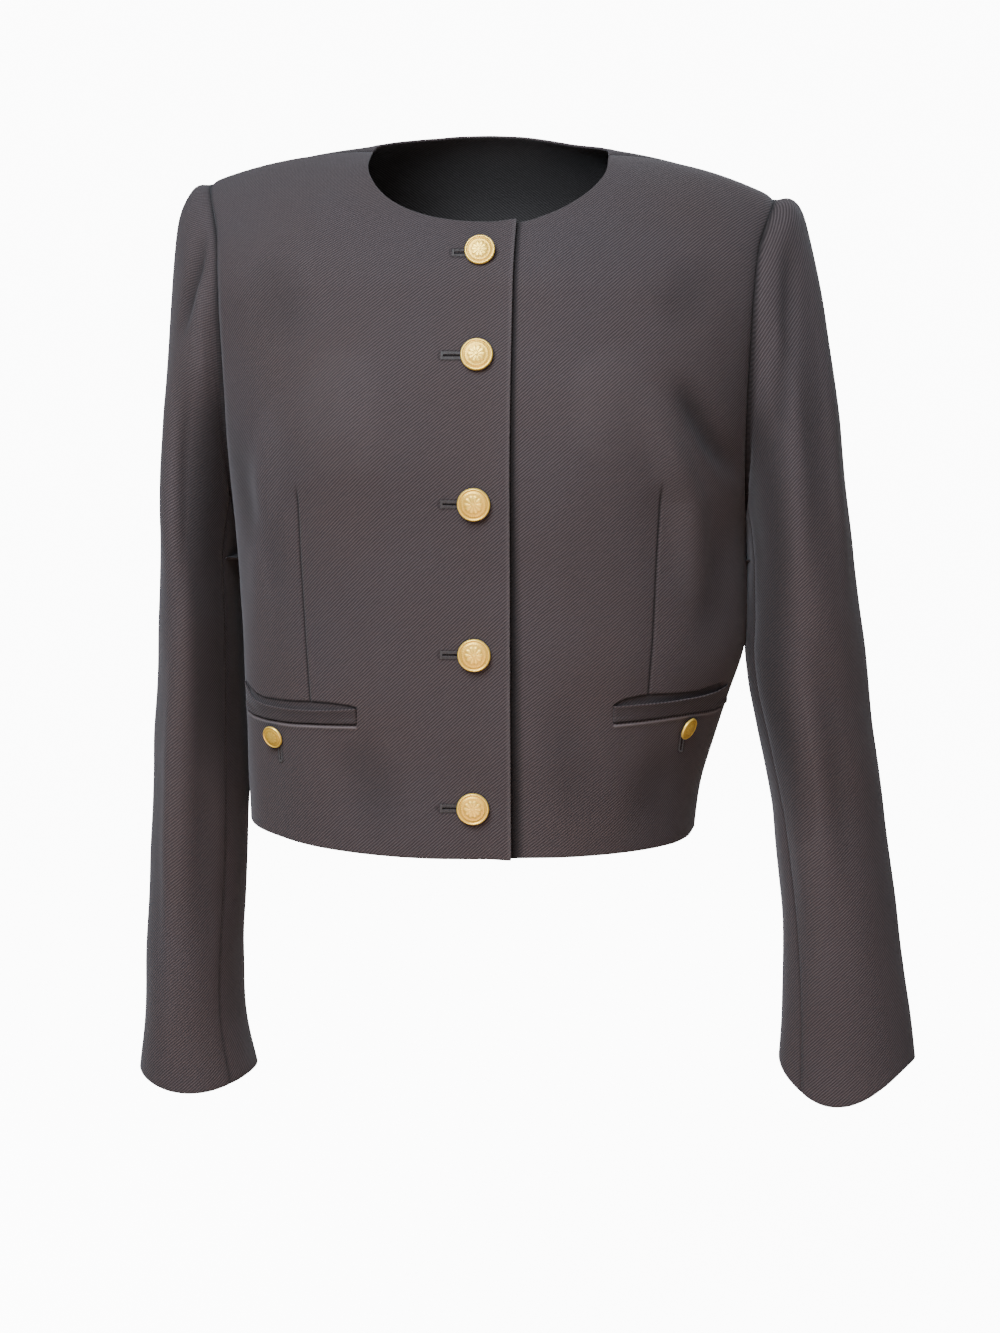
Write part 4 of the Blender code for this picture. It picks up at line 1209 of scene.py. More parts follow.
def divide_near(mesh, lines, cuts=3):
    """Divide the front-facing cells near some lines into finer ones."""
    shape = bmesh.new()
    shape.from_mesh(mesh)
    centres = np.array([face.calc_center_median() for face in shape.faces])
    facing = np.array([face.normal.y for face in shape.faces])
    chosen = np.zeros(len(centres), bool)
    for line, reach in lines:
        distance, _ = line_distance(centres[:, 0], centres[:, 2], line)
        chosen |= (distance < reach) & (facing < -0.1)
    edges = {edge for face, wanted in zip(shape.faces, chosen) if wanted for edge in face.edges}
    bmesh.ops.subdivide_edges(shape, edges=list(edges), cuts=cuts, use_grid_fill=True)
    shape.to_mesh(mesh)
    shape.free()


def turned_in(points, outward, flat, way_out):
    """Tables with a rolled edge and a seam allowance past their last column, against way_out."""
    edge, flat_edge = points[:, -1], flat[:, -1]
    off_edge = unit(edge - points[:, -2])
    flat_way = unit(flat_edge - flat[:, -2])
    new_points = [edge - off_edge * ROLL_RADIUS]
    new_flat = [flat_edge - flat_way * ROLL_RADIUS]
    for step in range(1, ROLL_STEPS + 1):
        turn = step / ROLL_STEPS * math.pi / 2
        back = ROLL_RADIUS * (1.0 - math.sin(turn))
        down = ROLL_RADIUS * (1.0 - math.cos(turn))
        new_points.append(edge - off_edge * back - way_out * down)
        new_flat.append(flat_edge + flat_way * down)
    for depth in ALLOWANCE_DEPTHS:
        new_points.append(edge - way_out * (ROLL_RADIUS + depth))
        new_flat.append(flat_edge + flat_way * (ROLL_RADIUS + depth))
    new_points, new_flat = np.stack(new_points, axis=1), np.stack(new_flat, axis=1)
    new_outward = np.repeat(way_out[:, None], new_points.shape[1], axis=1)
    return (
        np.concatenate([points[:, :-1], new_points], axis=1),
        np.concatenate([outward[:, :-1], new_outward], axis=1),
        np.concatenate([flat[:, :-1], new_flat], axis=1),
    )


def turned_tables(tables):
    """Three tables with their columns in the other order."""
    return [table[:, ::-1] for table in tables]


def on_their_side(tables):
    """Three tables with rows and columns exchanged, the last row first."""
    return [np.swapaxes(table[::-1], 0, 1) for table in tables]


def upright_again(tables):
    """Undo on_their_side."""
    return [np.swapaxes(table, 0, 1)[::-1] for table in tables]


def mesh_arrays(mesh):
    """Points and normals of a mesh as two tables."""
    points = np.zeros(len(mesh.vertices) * 3)
    normals = np.zeros(len(mesh.vertices) * 3)
    mesh.vertices.foreach_get("co", points)
    mesh.vertices.foreach_get("normal", normals)
    return points.reshape(-1, 3), normals.reshape(-1, 3)


def move_out(mesh, distance):
    """Move each point along its own way out, which neighbours share at a seam."""
    points, _ = mesh_arrays(mesh)
    push = np.zeros(len(points) * 3, np.float32)
    mesh.attributes["push"].data.foreach_get("vector", push)
    push = push.reshape(-1, 3)
    push /= np.maximum(np.linalg.norm(push, axis=-1, keepdims=True), 1e-9)
    mesh.vertices.foreach_set("co", (points + push * distance[:, None]).ravel())
    mesh.update()


def surface_finder(mesh):
    """A function from (x, z) to the point and normal of a surface seen from the front."""
    points, _ = mesh_arrays(mesh)
    faces = [tuple(face.vertices) for face in mesh.polygons]
    tree = BVHTree.FromPolygons([Vector(point) for point in points], faces)

    def find(x, z):
        point, normal, _, _ = tree.ray_cast(Vector((x, -0.5, z)), Vector((0.0, 1.0, 0.0)))
        return point, normal if normal.y < 0 else -normal

    return find


def seam_distance(points, seam):
    """Distance of each point from the nearest point of a seam."""
    tree = KDTree(len(seam))
    for index, place in enumerate(seam):
        tree.insert(place, index)
    tree.balance()
    return np.array([tree.find(point)[2] for point in points])


def panel_seams(outer, sides, shoulder_start):
    """Armhole and plain seams of a body panel as rows of points."""
    lower = SIDE_ROWS / (SIDE_ROWS + ARMHOLE_ROWS)
    corner = int(round(lower * (len(outer) - 1)))
    armhole_points = [outer[corner:, edge] for edge in sides]
    plain_points = [outer[:corner + 1, edge] for edge in sides]
    if shoulder_start is not None:
        plain_points.append(outer[-1, shoulder_start:])
    return {"armhole": np.concatenate(armhole_points), "plain": np.concatenate(plain_points)}


def beside_body(points, normals):
    """Painted shade on the inner side of a sleeve, where the body keeps the light away."""
    inward = -np.sign(points[:, 0]) * normals[:, 0]
    fall = -points[:, 2]
    beside = smooth_step(fall, *BESIDE_BODY_START) * (1.0 - smooth_step(fall, *BESIDE_BODY_END))
    return BESIDE_BODY_SHADE * smooth_step(inward, *BESIDE_BODY_TURN) * beside


def shape_cloth(mesh, name, seams):
    """Swell and creases, faded out at the seams so that neighbours meet, and the seams pulled in.
    Painted shade goes in the troughs, along the seams and on a sleeve beside the body, and a faint
    painted highlight on the ridges.
    """
    points, normals = mesh_arrays(mesh)
    at_armhole = seam_distance(points, seams["armhole"])
    at_seam = seam_distance(points, seams["plain"])
    away = smooth_step(np.minimum(at_armhole, at_seam), 0.0, SEAM_FADE)
    folds = creased(points, normals, name) * away
    moved = swell(points) * away + folds
    full, darkest = HOLLOW_SHADE
    dark = np.clip(-folds / full, 0.0, 1.0) * darkest
    lower = smooth_step(-points[:, 2], *LOWER_DOWN)
    pulls = ((at_armhole, ARMHOLE_PULL[name.split("_")[0]]), (at_seam, SEAM_PULL))
    for distance, (width, depth, shade, shade_width, more) in pulls:
        moved -= depth * bell(distance, width)
        dark = np.maximum(dark, shade * bell(distance, shade_width + more * lower))
    if name.startswith("sleeve"):
        dark = np.maximum(dark, beside_body(points, normals))
    full, lightest = RIDGE_SHINE
    light = np.clip(folds / full, 0.0, 1.0) * lightest
    move_out(mesh, moved)
    paint_shade_and_light(mesh, np.where(dark < FAINT_SHADE, -light, dark))


def paint_shade_and_light(mesh, dark):
    """Add to the attribute of painted light: painted shade up to 1 for the darkest, painted highlights
    below 0.
    """
    found = mesh.attributes.get("painted_shading")
    if found is None:
        found = mesh.attributes.new("painted_shading", "FLOAT", "POINT")
    before = np.zeros(len(dark), np.float32)
    found.data.foreach_get("value", before)
    darker = np.where(dark > FAINT_MARK, np.maximum(before, dark), before)
    both = np.where(dark < 0, dark, darker)
    found.data.foreach_set("value", both.astype(np.float32))


def cloth_object(name, mesh, nodes):
    """Wall and folded edge for a sheet, which then stands for its plain nodes."""
    mesh.attributes.remove(mesh.attributes["push"])
    mesh.shade_smooth()
    mesh.materials.append(wool)
    mesh.materials.append(wool_inside)
    made = new_object(name, mesh)
    wall = made.modifiers.new("wall", "SOLIDIFY")
    wall.thickness = WALL
    wall.offset = -1.0
    wall.material_offset = 1
    wall.material_offset_rim = 0
    edge = made.modifiers.new("folded edge", "BEVEL")
    edge.width = EDGE_RADIUS
    edge.segments = 2
    edge.limit_method = "ANGLE"
    edge.angle_limit = math.radians(65)
    edge.use_clamp_overlap = False
    edge.harden_normals = False
    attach(made, "root")
    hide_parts(*nodes)
    return made


# %% The fronts
def add_front(side):
    """One front, and its surface before it was sewn. The left one lies a layer lower under the lap."""
    coarse = front_grid(side)
    outer, normals = worn(coarse)
    if side > 0:
        step = LAYER_STEP * (1.0 - smooth_step(outer[..., 0], LAP, LAP + LAP_EASE))
        outer = outer - step[..., None] * normals
    flat = body_flat(coarse, 0.0, 1, outer)
    name = f"front_{SIDE_NAMES[side]}"
    seams = panel_seams(outer, [-1], (2 + NECK_COLUMNS) * BODY_FINE_COLUMNS)
    points, push, wide_flat = turned_in(outer, normals, flat, normals[:, -1])
    mesh = grid_mesh(f"cloth_{name}", points, wide_flat, push)
    divide_near(mesh, sewn_lines(side))
    shape_cloth(mesh, name, seams)
    plain = surface_finder(mesh)
    points, directions = mesh_arrays(mesh)
    moved, dark = sewn(points, directions, side)
    move_out(mesh, moved)
    paint_shade_and_light(mesh, dark)
    made = cloth_object(f"cloth_{name}", mesh, [name])
    return made, plain


fronts = {}
find_cloth = {}
for side in (1, -1):
    fronts[side], find_cloth[side] = add_front(side)
print({made.name: len(made.data.polygons) for made in fronts.values()})

# %% The back
def add_back():
    """The back, in one piece."""
    coarse = back_grid()
    outer, normals = worn(coarse)
    flat = body_flat(coarse, math.pi, coarse.shape[1] // 2, outer)
    seams = panel_seams(outer, [0, -1], None)
    tables = turned_in(outer, normals, flat, normals[:, -1])
    points, push, wide_flat = turned_tables(turned_in(*turned_tables(tables), normals[:, 0]))
    mesh = grid_mesh("cloth_back", points, wide_flat, push)
    half = SHOULDER_COLUMNS * BODY_FINE_COLUMNS
    seams["plain"] = np.concatenate([seams["plain"], outer[-1, :half + 1], outer[-1, -half - 1:]])
    shape_cloth(mesh, "back", seams)
    made = cloth_object("cloth_back", mesh, ["back"])
    return made


back = add_back()
print(back.name, len(back.data.polygons))

# %% [markdown]
# ## Sleeves
# A sleeve head is cut longer than its armhole and eased in over a shoulder pad, so it stands up a
# little beside the seam. The two-piece cut has an upper sleeve round the outside and a narrow under
# sleeve against the body.

# %% Upper and under sleeves
SLEEVE_SEAM_OVERLAP = 0.00015
HEAD_RISE = 0.0012
HEAD_RISE_PLACE = 0.0070
HEAD_RISE_WIDTH = 0.0050
HEAD_RISE_HEIGHTS = (-0.11, -0.05)
# Columns: height, half height, distance.
HEAD_PUFF = {1: (-0.030, 0.024, 0.0040), -1: (-0.040, 0.030, 0.0050)}
HEAD_PUFF_START = (0.001, 0.016)
# Columns: height, shift towards the body.
SWAY = {
    1: ((-0.200, 0.0), (-0.220, 0.0008), (-0.235, 0.0017), (-0.245, 0.0014), (-0.255, 0.0017),
        (-0.270, 0.0017), (-0.300, 0.0020), (-0.310, 0.0028), (-0.320, 0.0041), (-0.330, 0.0046),
        (-0.350, 0.0044), (-0.390, 0.0020), (-0.430, 0.0)),
    -1: ((-0.200, 0.0), (-0.450, 0.0)),
}
SWAY_START = 0.35


def swayed(points, side):
    """The inner side of a sleeve moved towards the body, where the cloth rests against it."""
    moved = points.copy()
    table = np.array(SWAY[side][::-1])
    shift = np.interp(points[..., 2], table[:, 0], table[:, 1])
    inner, outer = sleeve[side]["inner"](points[..., 2]), sleeve[side]["outer"](points[..., 2])
    inward = (outer - side * points[..., 0]) / (outer - inner)
    moved[..., 0] -= side * shift * smooth_step(inward, SWAY_START, 1.0)
    return moved


def sleeve_head(points, side):
    """The roll of the sleeve head beside the armhole seam, and its fullness further out."""
    off_seam = side * points[:, 0] - SHOULDER_HALF_WIDTH
    high = smooth_step(points[:, 2], *HEAD_RISE_HEIGHTS)
    roll = HEAD_RISE * high * bell(off_seam - HEAD_RISE_PLACE, HEAD_RISE_WIDTH)
    height, half_height, distance = HEAD_PUFF[side]
    puff = distance * bell(points[:, 2] - height, half_height)
    return roll + puff * smooth_step(off_seam, *HEAD_PUFF_START)


def add_sleeve(side):
    """Both pieces of a sleeve, read from one tube of points."""
    coarse = sleeve_grid(side)
    cap = np.linspace(0, CAP_ROWS, CAP_ROWS * CAP_FINE_ROWS + 1)
    lower = np.linspace(CAP_ROWS, CAP_ROWS + SLEEVE_LOWER_ROWS, SLEEVE_LOWER_ROWS * LOWER_FINE_ROWS + 1)
    rows = np.concatenate([cap, lower[1:]])
    seam = ARMHOLE_ROWS - UNDER_SLEEVE_COLUMNS // 2
    spans = {"upper": (-seam, seam), "under": (seam, 2 * ARMHOLE_ROWS - seam)}
    body_way = np.array([armhole_frame(side, turn)[1] for turn in SLEEVE_TURNS])
    made = []
    for piece, (first, last) in spans.items():
        columns = np.linspace(first, last, (last - first) * SLEEVE_FINE_COLUMNS + 1)
        outer = swayed(finer(coarse, rows, columns, closed=True), side)
        for edge, neighbour in ((0, 1), (-1, -2)):
            outer[:, edge] -= unit(outer[:, neighbour] - outer[:, edge]) * SLEEVE_SEAM_OVERLAP
        around, down = np.gradient(outer, axis=1), np.gradient(outer, axis=0)
        normals = unit(side * np.cross(around, down))
        lines = np.arange(first, last + 1) % coarse.shape[1]
        flat = sleeve_flat(coarse[:, lines], side, rows, columns - first, outer)
        name = f"sleeve_{piece}_{SIDE_NAMES[side]}"
        way_out = unit(between(body_way, columns, closed=True))
        tables = turned_in(*on_their_side((outer, normals, flat)), way_out)
        points, push, wide_flat = upright_again(tables)
        mesh = grid_mesh(f"cloth_{name}", points, wide_flat, push)
        seams = {"armhole": outer[0], "plain": np.concatenate([outer[:, 0], outer[:, -1]])}
        shape_cloth(mesh, f"sleeve_{SIDE_NAMES[side]}", seams)
        points, _ = mesh_arrays(mesh)
        move_out(mesh, sleeve_head(points, side))
        sheet = cloth_object(f"cloth_{name}", mesh, [name])
        made.append(sheet)
    return made


sleeves = {side: add_sleeve(side) for side in (1, -1)}
print({piece.name: len(piece.data.polygons) for pair in sleeves.values() for piece in pair})

# %% [markdown]
# ## Pocket welts
# A welt is a folded strip. Its lower edge is sewn down and turns under, its upper edge is the fold and
# stands off, so that the pocket gapes a little. The cross-section is a short table of height over
# width, and a bmesh grid carries it along the pocket.

# %% Welts
# Columns: share of the width, height above the cloth.
WELT_SECTION = (
    (0.00, -0.0006),
    (0.00, 0.0003),
    (0.03, 0.0010),
    (0.09, 0.0014),
    (0.25, 0.0016),
    (0.50, 0.0019),
    (0.75, 0.0024),
    (0.90, 0.0029),
    (0.97, 0.0030),
    (1.00, 0.0025),
    (0.98, 0.0018),
    (0.90, 0.0013),
)
WELT_FINE_ROWS = 3
WELT_FINE_COLUMNS = 110
WELT_WALL = 0.0006
WELT_EASE = 1.15
WELT_INSET = 0.0003
WELT_END = (-0.0002, 0.0012)
WELT_OPENS = (0.0, 0.018)
WELT_CLOSED_SHARE = 0.55
WELT_SEWN_SHARE = 0.3
STEEPEST_CLOTH = 0.3

# Painted shade and light by share of the width: shade on the strip and at its sewn edge, a highlight on its
# fold, shade at its end.
WELT_SHADE, WELT_SHADE_EDGE = 0.28, (0.82, 0.88)
WELT_SEAM_SHADE, WELT_SEAM_EDGE = 0.9, (0.02, 0.09)
WELT_SHINE, WELT_SHINE_EDGE = 1.0, (0.87, 0.93)
WELT_END_SHADE, WELT_END_EDGE = 0.30, (0.0002, 0.0009)


def welt_tables(side, across):
    """Points, ways out and flat cut of a strip laid on the finished front."""
    steps = np.linspace(0, len(WELT_SECTION) - 1, WELT_FINE_ROWS * (len(WELT_SECTION) - 1) + 1)
    section = between(np.array(WELT_SECTION), steps)
    low, high = height_on(WELT_BOTTOM[side], across), height_on(WELT_TOP[side], across)
    seats = np.zeros((len(section), len(across), 3))
    outward = np.zeros_like(seats)
    flat = np.zeros((len(section), len(across), 2))
    from_ends = np.minimum(np.abs(across - across[0]), np.abs(across - across[-1]))
    sewn_down = smooth_step(from_ends, *WELT_END)
    open_share = WELT_CLOSED_SHARE + (1.0 - WELT_CLOSED_SHARE) * smooth_step(from_ends, *WELT_OPENS)
    for column, x in enumerate(across):
        point, normal = find_cloth[side](x, (low[column] + high[column]) / 2)
        for row, (share, height) in enumerate(section):
            z = low[column] + share * (high[column] - low[column])
            seat = point + Vector((0.0, 0.0, z - point.z))
            seat.y += (z - point.z) * normal.z / max(-normal.y, STEEPEST_CLOTH)
            lifted = height * (sewn_down[column] if height > 0 else 1.0)
            lifted *= open_share[column] if share > WELT_SEWN_SHARE else 1.0
            seats[row, column] = seat + normal * lifted
            outward[row, column] = normal
            flat[row, column] = (x * WELT_EASE, z + height)
    return seats, flat, outward


def welt_painted_light(places, side, inner_x):
    """Painted shade on the strip and its seam, a painted highlight on its fold, and painted shade at its
    inner end.
    """
    across, up = places[:, 0], places[:, 2]
    low, high = height_on(WELT_BOTTOM[side], across), height_on(WELT_TOP[side], across)
    shares = (up - low) / (high - low)
    welt_painting = WELT_SHADE * (1.0 - smooth_step(shares, *WELT_SHADE_EDGE))
    welt_painting += (WELT_SEAM_SHADE - WELT_SHADE) * (1.0 - smooth_step(shares, *WELT_SEAM_EDGE))
    welt_painting -= WELT_SHINE * smooth_step(shares, *WELT_SHINE_EDGE)
    end = WELT_END_SHADE * (1.0 - smooth_step(np.abs(across - inner_x), *WELT_END_EDGE))
    return np.maximum(welt_painting, end)


def add_welt(side):
    """One welt, laid on the finished front."""
    inner_x, outer_x = WELT_TOP[side][0][0] + side * WELT_INSET, WELT_TOP[side][-1][0]
    across = np.linspace(inner_x, outer_x, WELT_FINE_COLUMNS + 1)
    name = f"welt_{SIDE_NAMES[side]}"
    mesh = grid_mesh(f"cloth_{name}", *welt_tables(side, across))
    paint_shade_and_light(mesh, welt_painted_light(mesh_arrays(mesh)[0], side, inner_x))
    mesh.attributes.remove(mesh.attributes["push"])
    mesh.shade_smooth()
    mesh.materials.append(wool)
    made = new_object(f"cloth_{name}", mesh)
    wall = made.modifiers.new("wall", "SOLIDIFY")
    wall.thickness = WELT_WALL
    wall.offset = -1.0
    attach(made, "root")
    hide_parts(name)


for side in (1, -1):
    add_welt(side)

# %% [markdown]
# ## Buttonholes
# A worked buttonhole has a row of close stitches on each side of the slit and a bar across its end.
# One stitch is a small block with bevelled edges, and the row repeats it. Hundreds of stitches share
# one mesh, so each stays at a few dozen faces.

# %% Stitches
STITCH_LENGTH = 0.0019
STITCH_WIDTH = 0.00042
STITCH_HEIGHT = 0.00045
STITCH_STEP = 0.00050
STITCH_BEVEL = 0.00013
STITCH_LIFT = 0.00018
STITCH_JITTER = 0.00005
NEXT_SPOT = 0.0008
SLIT_HALF_WIDTH = 0.0006
POCKET_STITCH_LENGTH = 0.0011
POCKET_SLIT_HALF_WIDTH = 0.0004
BAR_STEPS = np.linspace(-0.0004, 0.0004, 3)
BAR_BEFORE_SLIT = 0.0005
BAR_OVERHANG = 0.0002
BAR_LIFT = 0.00045


def add_stitch(shape, side, spot, beside, length, lift):
    """One stitch lying on the cloth of a front at (x, height), its length along a direction."""
    point, normal = find_cloth[side](*spot)
    other, _ = find_cloth[side](*(spot + beside * NEXT_SPOT))
    along = (other - point).normalized()
    turned = Matrix((along, normal.cross(along).normalized(), normal)).transposed().to_4x4()
    turned.translation = point + normal * lift
    size = Matrix.Diagonal((length, STITCH_WIDTH, STITCH_HEIGHT, 1.0))
    block = bmesh.ops.create_cube(shape, size=1.0, matrix=turned @ size)
    edges = {edge for vertex in block["verts"] for edge in vertex.link_edges}
    bmesh.ops.bevel(
        shape, geom=list(edges), offset=STITCH_BEVEL, segments=1, profile=0.5,
        affect="EDGES", material=-1,
    )


def add_buttonhole(name, side, line, stitch_length=STITCH_LENGTH, slit_half_width=SLIT_HALF_WIDTH):
    """Rows of stitches on both sides of a slit, and a bar at its end."""
    start, end = (np.array(point) for point in line)
    run = end - start
    length = float(np.linalg.norm(run))
    direction = run / length
    beside = np.array([-direction[1], direction[0]])
    shape = bmesh.new()
    random = np.random.default_rng(len(name))
    for row_side in (1, -1):
        for step in range(int(length / STITCH_STEP) + 1):
            jitter = random.normal(scale=STITCH_JITTER, size=2)
            offset = slit_half_width + stitch_length / 2
            spot = start + direction * (step * STITCH_STEP + jitter[0])
            spot = spot + beside * row_side * (offset + jitter[1])
            add_stitch(shape, side, spot, beside, stitch_length, STITCH_LIFT)
    for step in BAR_STEPS:
        spot = start + direction * (step - BAR_BEFORE_SLIT)
        length_across = 2 * (slit_half_width + stitch_length) + BAR_OVERHANG
        add_stitch(shape, side, spot, beside, length_across, BAR_LIFT)
    mesh = finished_mesh(shape, name)
    mesh.materials.append(thread)
    made = new_object(name, mesh)
    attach(made, "root")
    return made


for number, hole in enumerate(front_holes(), start=1):
    print(add_buttonhole(f"buttonhole_front_{number}", -1, hole).name)
for side in (1, -1):
    name = f"buttonhole_pocket_{SIDE_NAMES[side]}"
    upward = pocket_hole(side)[::-1]
    made = add_buttonhole(name, side, upward, POCKET_STITCH_LENGTH, POCKET_SLIT_HALF_WIDTH)
    print(made.name)

# %% [markdown]
# ## Metal buttons
# A blazer button is stamped from thin brass: a raised rim, a low dome, and a relief in it. Turning a
# half outline makes the body of it. The relief here is a plain generic rosette with a beaded ring, and
# its height, with a lift at the rim, is also kept as an attribute that paints shade into the hollows
# and a highlight on the raised parts and the rim.

# %% Gilt metal
def metal_material():
    """Gold-coloured metal, duller and with painted shade in the hollows of the relief, and with a painted
    highlight on the raised parts and the rim.
    """
    material, tree, shader = new_material("gilt metal")
    # The relief attribute carries painted light: low for painted shade in the hollows, high for a painted
    # highlight on the raised parts and the rim.
    hollow = add_node(tree, "ShaderNodeAttribute", attribute_name="relief").outputs["Fac"]
    grain = noise(tree, object_place(tree), 700.0, detail=3.0)
    raised = maths(tree, "MULTIPLY_ADD", off_middle(tree, grain), 0.5, hollow)
    dull_to_bright = {"Value": raised, "To Min": 0.52, "To Max": 0.36}
    bumps = {"Height": grain, "Strength": 0.25, "Distance": 0.00008}
    fill(shader, {
        "Base Color": mixed(tree, raised, (0.62, 0.34, 0.035, 1.0), (1.0, 0.68, 0.12, 1.0)),
        "Roughness": add_node(tree, "ShaderNodeMapRange", dull_to_bright).outputs["Result"],
        "Normal": add_node(tree, "ShaderNodeBump", bumps).outputs["Normal"],
        "Metallic": 0.6,
    })
    return material


gilt = metal_material()
print("metal:", gilt.name)

# %% Turn the button and raise its relief
POCKET_BUTTON_DIAMETER = 0.015
BUTTON_STEPS = 96
# Columns: share of the radius, height as a share of the radius.
BUTTON_SECTION = (
    (0.000, 0.430),
    (0.250, 0.422),
    (0.500, 0.398),
    (0.700, 0.360),
    (0.800, 0.330),
    (0.840, 0.322),
    (0.870, 0.345),
    (0.905, 0.368),
    (0.945, 0.360),
    (0.985, 0.310),
    (1.000, 0.255),
    (0.985, 0.205),
    (0.930, 0.165),
    (0.600, 0.150),
    (0.260, 0.140),
    (0.240, 0.120),
    (0.240, 0.000),
    (0.000, 0.000),
)
SECTION_FINENESS = 4
RELIEF_HEIGHT = 0.040
RELIEF_REACH = 0.85
LEAST_UPWARD = 0.2
RIM_HIGHLIGHT_START = (0.86, 0.90)
PETALS = 10
BEADS = 36
BEAD_RADIUS = 0.70
FEEL_REACH = 0.4
SEAT_LIFT = 0.0002
TILT_LIFT = 0.25


def relief(radius, turn):
    """Height of the rosette and its beaded ring at a share of the radius, 0 to 1."""
    leaf = PETALS / 2 * turn
    centre = bell(radius, 0.11)
    petal_edge = 0.46 + 0.12 * np.abs(np.cos(leaf))
    petal = smooth_step(petal_edge - radius, 0.0, 0.07) * (0.45 + 0.55 * np.cos(leaf) ** 2)
    petal *= smooth_step(radius, 0.12, 0.20)
    vein = 0.25 * bell(np.sin(leaf), 0.12) * smooth_step(radius, 0.14, 0.2)
    beads = bell(radius - BEAD_RADIUS, 0.055) * (0.5 + 0.5 * np.cos(BEADS * turn))
    return np.clip(centre + petal * 0.85 - vein * petal + 0.8 * beads, 0.0, 1.0)


def turned_form(outline, steps, tolerance):
    """A bmesh made by turning a half outline, rows of (radius, height), a full circle about Z."""
    shape = bmesh.new()
    line = [shape.verts.new((radius, 0.0, height)) for radius, height in outline]
    edges = [shape.edges.new(pair) for pair in zip(line, line[1:])]
    bmesh.ops.spin(
        shape, geom=line + edges, cent=(0, 0, 0), axis=(0, 0, 1), angle=2 * math.pi,
        steps=steps, use_merge=True,
    )
    bmesh.ops.remove_doubles(shape, verts=shape.verts, dist=tolerance)
    bmesh.ops.recalc_face_normals(shape, faces=shape.faces)
    return shape


def button_mesh(name, diameter):
    """A turned button with the relief raised on its face, and its painted shade and highlight kept in an
    attribute.
    """
    scale = diameter / 2
    steps = np.linspace(0, len(BUTTON_SECTION) - 1, SECTION_FINENESS * (len(BUTTON_SECTION) - 1) + 1)
    section = between(np.array(BUTTON_SECTION), steps)
    section[:, 0] = np.maximum(section[:, 0], 0.0)
    mesh = finished_mesh(turned_form(section * scale, BUTTON_STEPS, 0.000004), name)
    points, normals = mesh_arrays(mesh)
    radius = np.hypot(points[:, 0], points[:, 1]) / scale
    turn = np.arctan2(points[:, 1], points[:, 0])
    face = (normals[:, 2] > LEAST_UPWARD) & (radius < RELIEF_REACH)
    raised = np.where(face, relief(radius, turn), 0.0)
    points[:, 2] += raised * RELIEF_HEIGHT * scale
    mesh.vertices.foreach_set("co", points.ravel())
    # Painted light: the hollows darker, the raised relief and the rim lighter.
    painted_gilt_light = np.clip(0.25 + 0.75 * raised + smooth_step(radius, *RIM_HIGHLIGHT_START), 0.0, 1.0)
    attribute = mesh.attributes.new("relief", "FLOAT", "POINT")
    attribute.data.foreach_set("value", painted_gilt_light.astype(np.float32))
    mesh.shade_smooth()
    mesh.materials.append(gilt)
    return mesh


def add_button(name, side, x, z, diameter, tilt=(0.0, 0.0)):
    """A button seated on the cloth and tilted by two small angles, its place kept in its mesh."""
    find = find_cloth[side]
    reach = diameter * FEEL_REACH
    across = find(x + reach, z)[0] - find(x - reach, z)[0]
    upward = find(x, z + reach)[0] - find(x, z - reach)[0]
    normal = across.cross(upward).normalized()
    about_z, about_x = (math.radians(angle) for angle in tilt)
    lean = Matrix.Rotation(about_z, 3, "Z") @ Matrix.Rotation(about_x, 3, "X")
    seat = (lean @ normal).to_track_quat("Z", "Y").to_matrix().to_4x4()
    stand_off = math.sin(math.hypot(about_z, about_x)) * diameter * TILT_LIFT
    seat.translation = find(x, z)[0] + normal * (SEAT_LIFT + stand_off)
    mesh = button_mesh(name, diameter)
    mesh.transform(seat)
    made = new_object(name, mesh)
    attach(made, "root")
    return made


for number, (x, z, diameter, _) in enumerate(FRONT_BUTTONS, start=1):
    tilt = FRONT_BUTTON_TILT.get(number, (0.0, 0.0))
    made = add_button(f"gilt_button_front_{number}", -1, x, z, diameter, tilt)
    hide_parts(f"button_front_{number}")
for side, (x, z) in POCKET_BUTTON_PLACE.items():
    name = f"gilt_button_pocket_{SIDE_NAMES[side]}"
    made = add_button(name, side, x, z, POCKET_BUTTON_DIAMETER, POCKET_BUTTON_TILT[side])
    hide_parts(f"button_pocket_{SIDE_NAMES[side]}")
print("buttons:", len(FRONT_BUTTONS) + len(POCKET_BUTTON_PLACE))

# %% [markdown]
# ## Camera
# The photograph was taken from a little under two metres, level with the upper chest and five degrees
# to the wearer's left. Those few sizes give the camera: its place on a circle round the jacket, the
# way it looks down, and a long lens.

# %% Place the camera
VIEW_DISTANCE = 1.80
VIEW_TURN = math.radians(5.0)
VIEW_AIM = math.radians(0.191)
VIEW_HEIGHT = -0.124
VIEW_DOWN = math.radians(6.832)
LENS = 72.92


def add_camera():
    """A long lens on a circle round the jacket, turned towards it and a little down."""
    data = bpy.data.cameras.new("camera")
    data.lens = LENS
    data.sensor_width = 36.0
    made = new_object("camera", data)
    made.location = (
        VIEW_DISTANCE * math.sin(VIEW_TURN),
        -VIEW_DISTANCE * math.cos(VIEW_TURN),
        VIEW_HEIGHT,
    )
    made.rotation_euler = (math.pi / 2 - VIEW_DOWN, 0.0, VIEW_TURN - VIEW_AIM)
    bpy.context.scene.camera = made
    return made


camera = add_camera()
print("camera at", [round(value, 3) for value in camera.location])

# %% [markdown]
# ## Floor and light
# The jacket hangs as if worn, so the floor is well below it. A pale sweep rises all round it without
# a visible corner, so that a view from behind has the same ground. The photograph was cut out on
# white, so the sweep glows but lights nothing. The light is soft: a cool one from the upper front
# left, a weak fill from the right, a warm one from below, and one behind for the back.

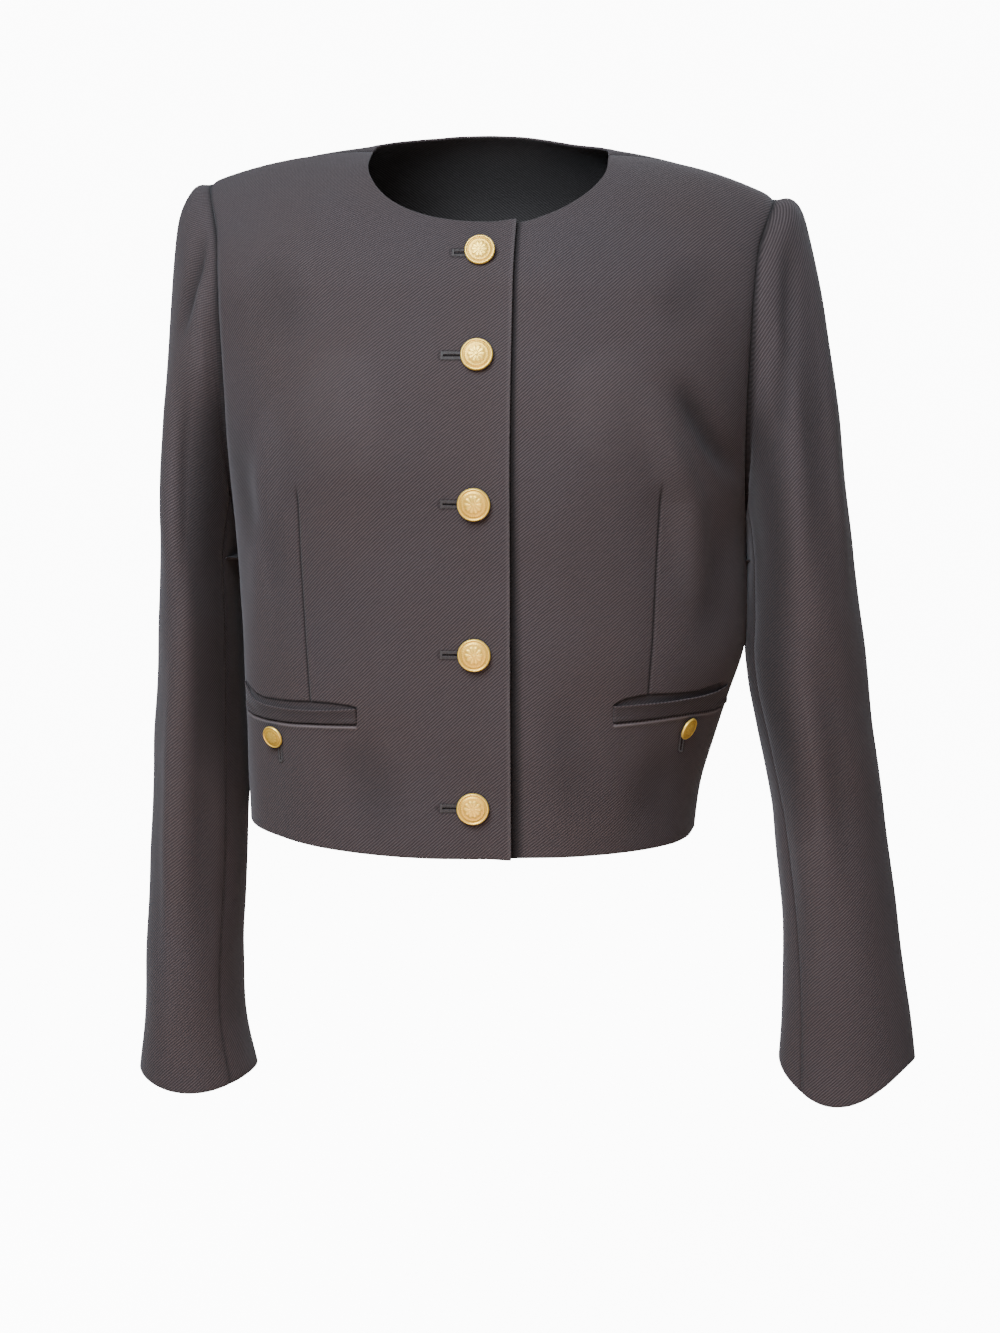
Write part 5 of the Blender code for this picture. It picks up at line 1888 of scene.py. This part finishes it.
# %% A pale sweep
FLOOR_HEIGHT = -0.95
SWEEP_DISTANCE = 4.6
SWEEP_RADIUS = 1.4
SWEEP_TOP = 4.5
SWEEP_STEPS = 96
SWEEP_BEND_STEPS = 12
SWEEP_GLOW = 11.0


def add_sweep():
    """Floor and backdrop in one curved sheet, closed all round."""
    bend_start = SWEEP_DISTANCE - SWEEP_RADIUS
    outline = [(0.0, FLOOR_HEIGHT), (bend_start, FLOOR_HEIGHT)]
    for step in range(1, SWEEP_BEND_STEPS + 1):
        turn = step / SWEEP_BEND_STEPS * math.pi / 2
        height = FLOOR_HEIGHT + SWEEP_RADIUS * (1 - math.cos(turn))
        outline.append((bend_start + SWEEP_RADIUS * math.sin(turn), height))
    outline.append((SWEEP_DISTANCE, SWEEP_TOP))
    mesh = finished_mesh(turned_form(outline, SWEEP_STEPS, 0.0001), "sweep")
    mesh.shade_smooth()
    material, _, shader = new_material("pale paper")
    fill(shader, {
        "Base Color": (0.93, 0.93, 0.93, 1.0),
        "Roughness": 0.9,
        "Specular IOR Level": 0.1,
        "Emission Color": (1.0, 1.0, 1.0, 1.0),
        "Emission Strength": SWEEP_GLOW,
    })
    mesh.materials.append(material)
    made = new_object("sweep", mesh)
    made.visible_diffuse = False
    made.visible_glossy = False
    made.visible_shadow = False
    return made


print(add_sweep().name, "stands", SWEEP_DISTANCE, "m off on all sides")

# %% Soft studio light
# Columns: name, place, aim, size, power, colour.
LIGHTS = (
    ("key", (-0.75, -2.25, 1.65), (0.0, 0.0, -0.10), 1.8, 216.0, (0.85, 0.93, 1.0)),
    ("fill", (1.6, -1.9, 0.2), (0.0, 0.0, -0.3), 1.4, 11.0, (1.0, 0.97, 0.95)),
    ("low", (0.0, -1.4, -0.9), (0.0, 0.0, -0.4), 0.9, 13.0, (1.0, 0.66, 0.50)),
    ("back", (0.9, 2.5, 1.3), (0.0, 0.0, -0.25), 2.2, 44.0, (0.95, 0.97, 1.0)),
)


def add_light(name, place, aim, size, power, colour):
    """A square area light turned towards a point."""
    data = bpy.data.lights.new(name, "AREA")
    data.shape = "SQUARE"
    data.size = size
    data.energy = power
    data.color = colour
    made = new_object(name, data)
    made.location = place
    made.rotation_euler = (Vector(aim) - Vector(place)).to_track_quat("-Z", "Y").to_euler()
    return made


for row in LIGHTS:
    print("light:", add_light(*row).name)

world = bpy.data.worlds.new("studio air")
world.use_nodes = True
fill(world.node_tree.nodes["Background"], {"Color": (1.0, 1.0, 1.0, 1.0), "Strength": 0.17})
bpy.context.scene.world = world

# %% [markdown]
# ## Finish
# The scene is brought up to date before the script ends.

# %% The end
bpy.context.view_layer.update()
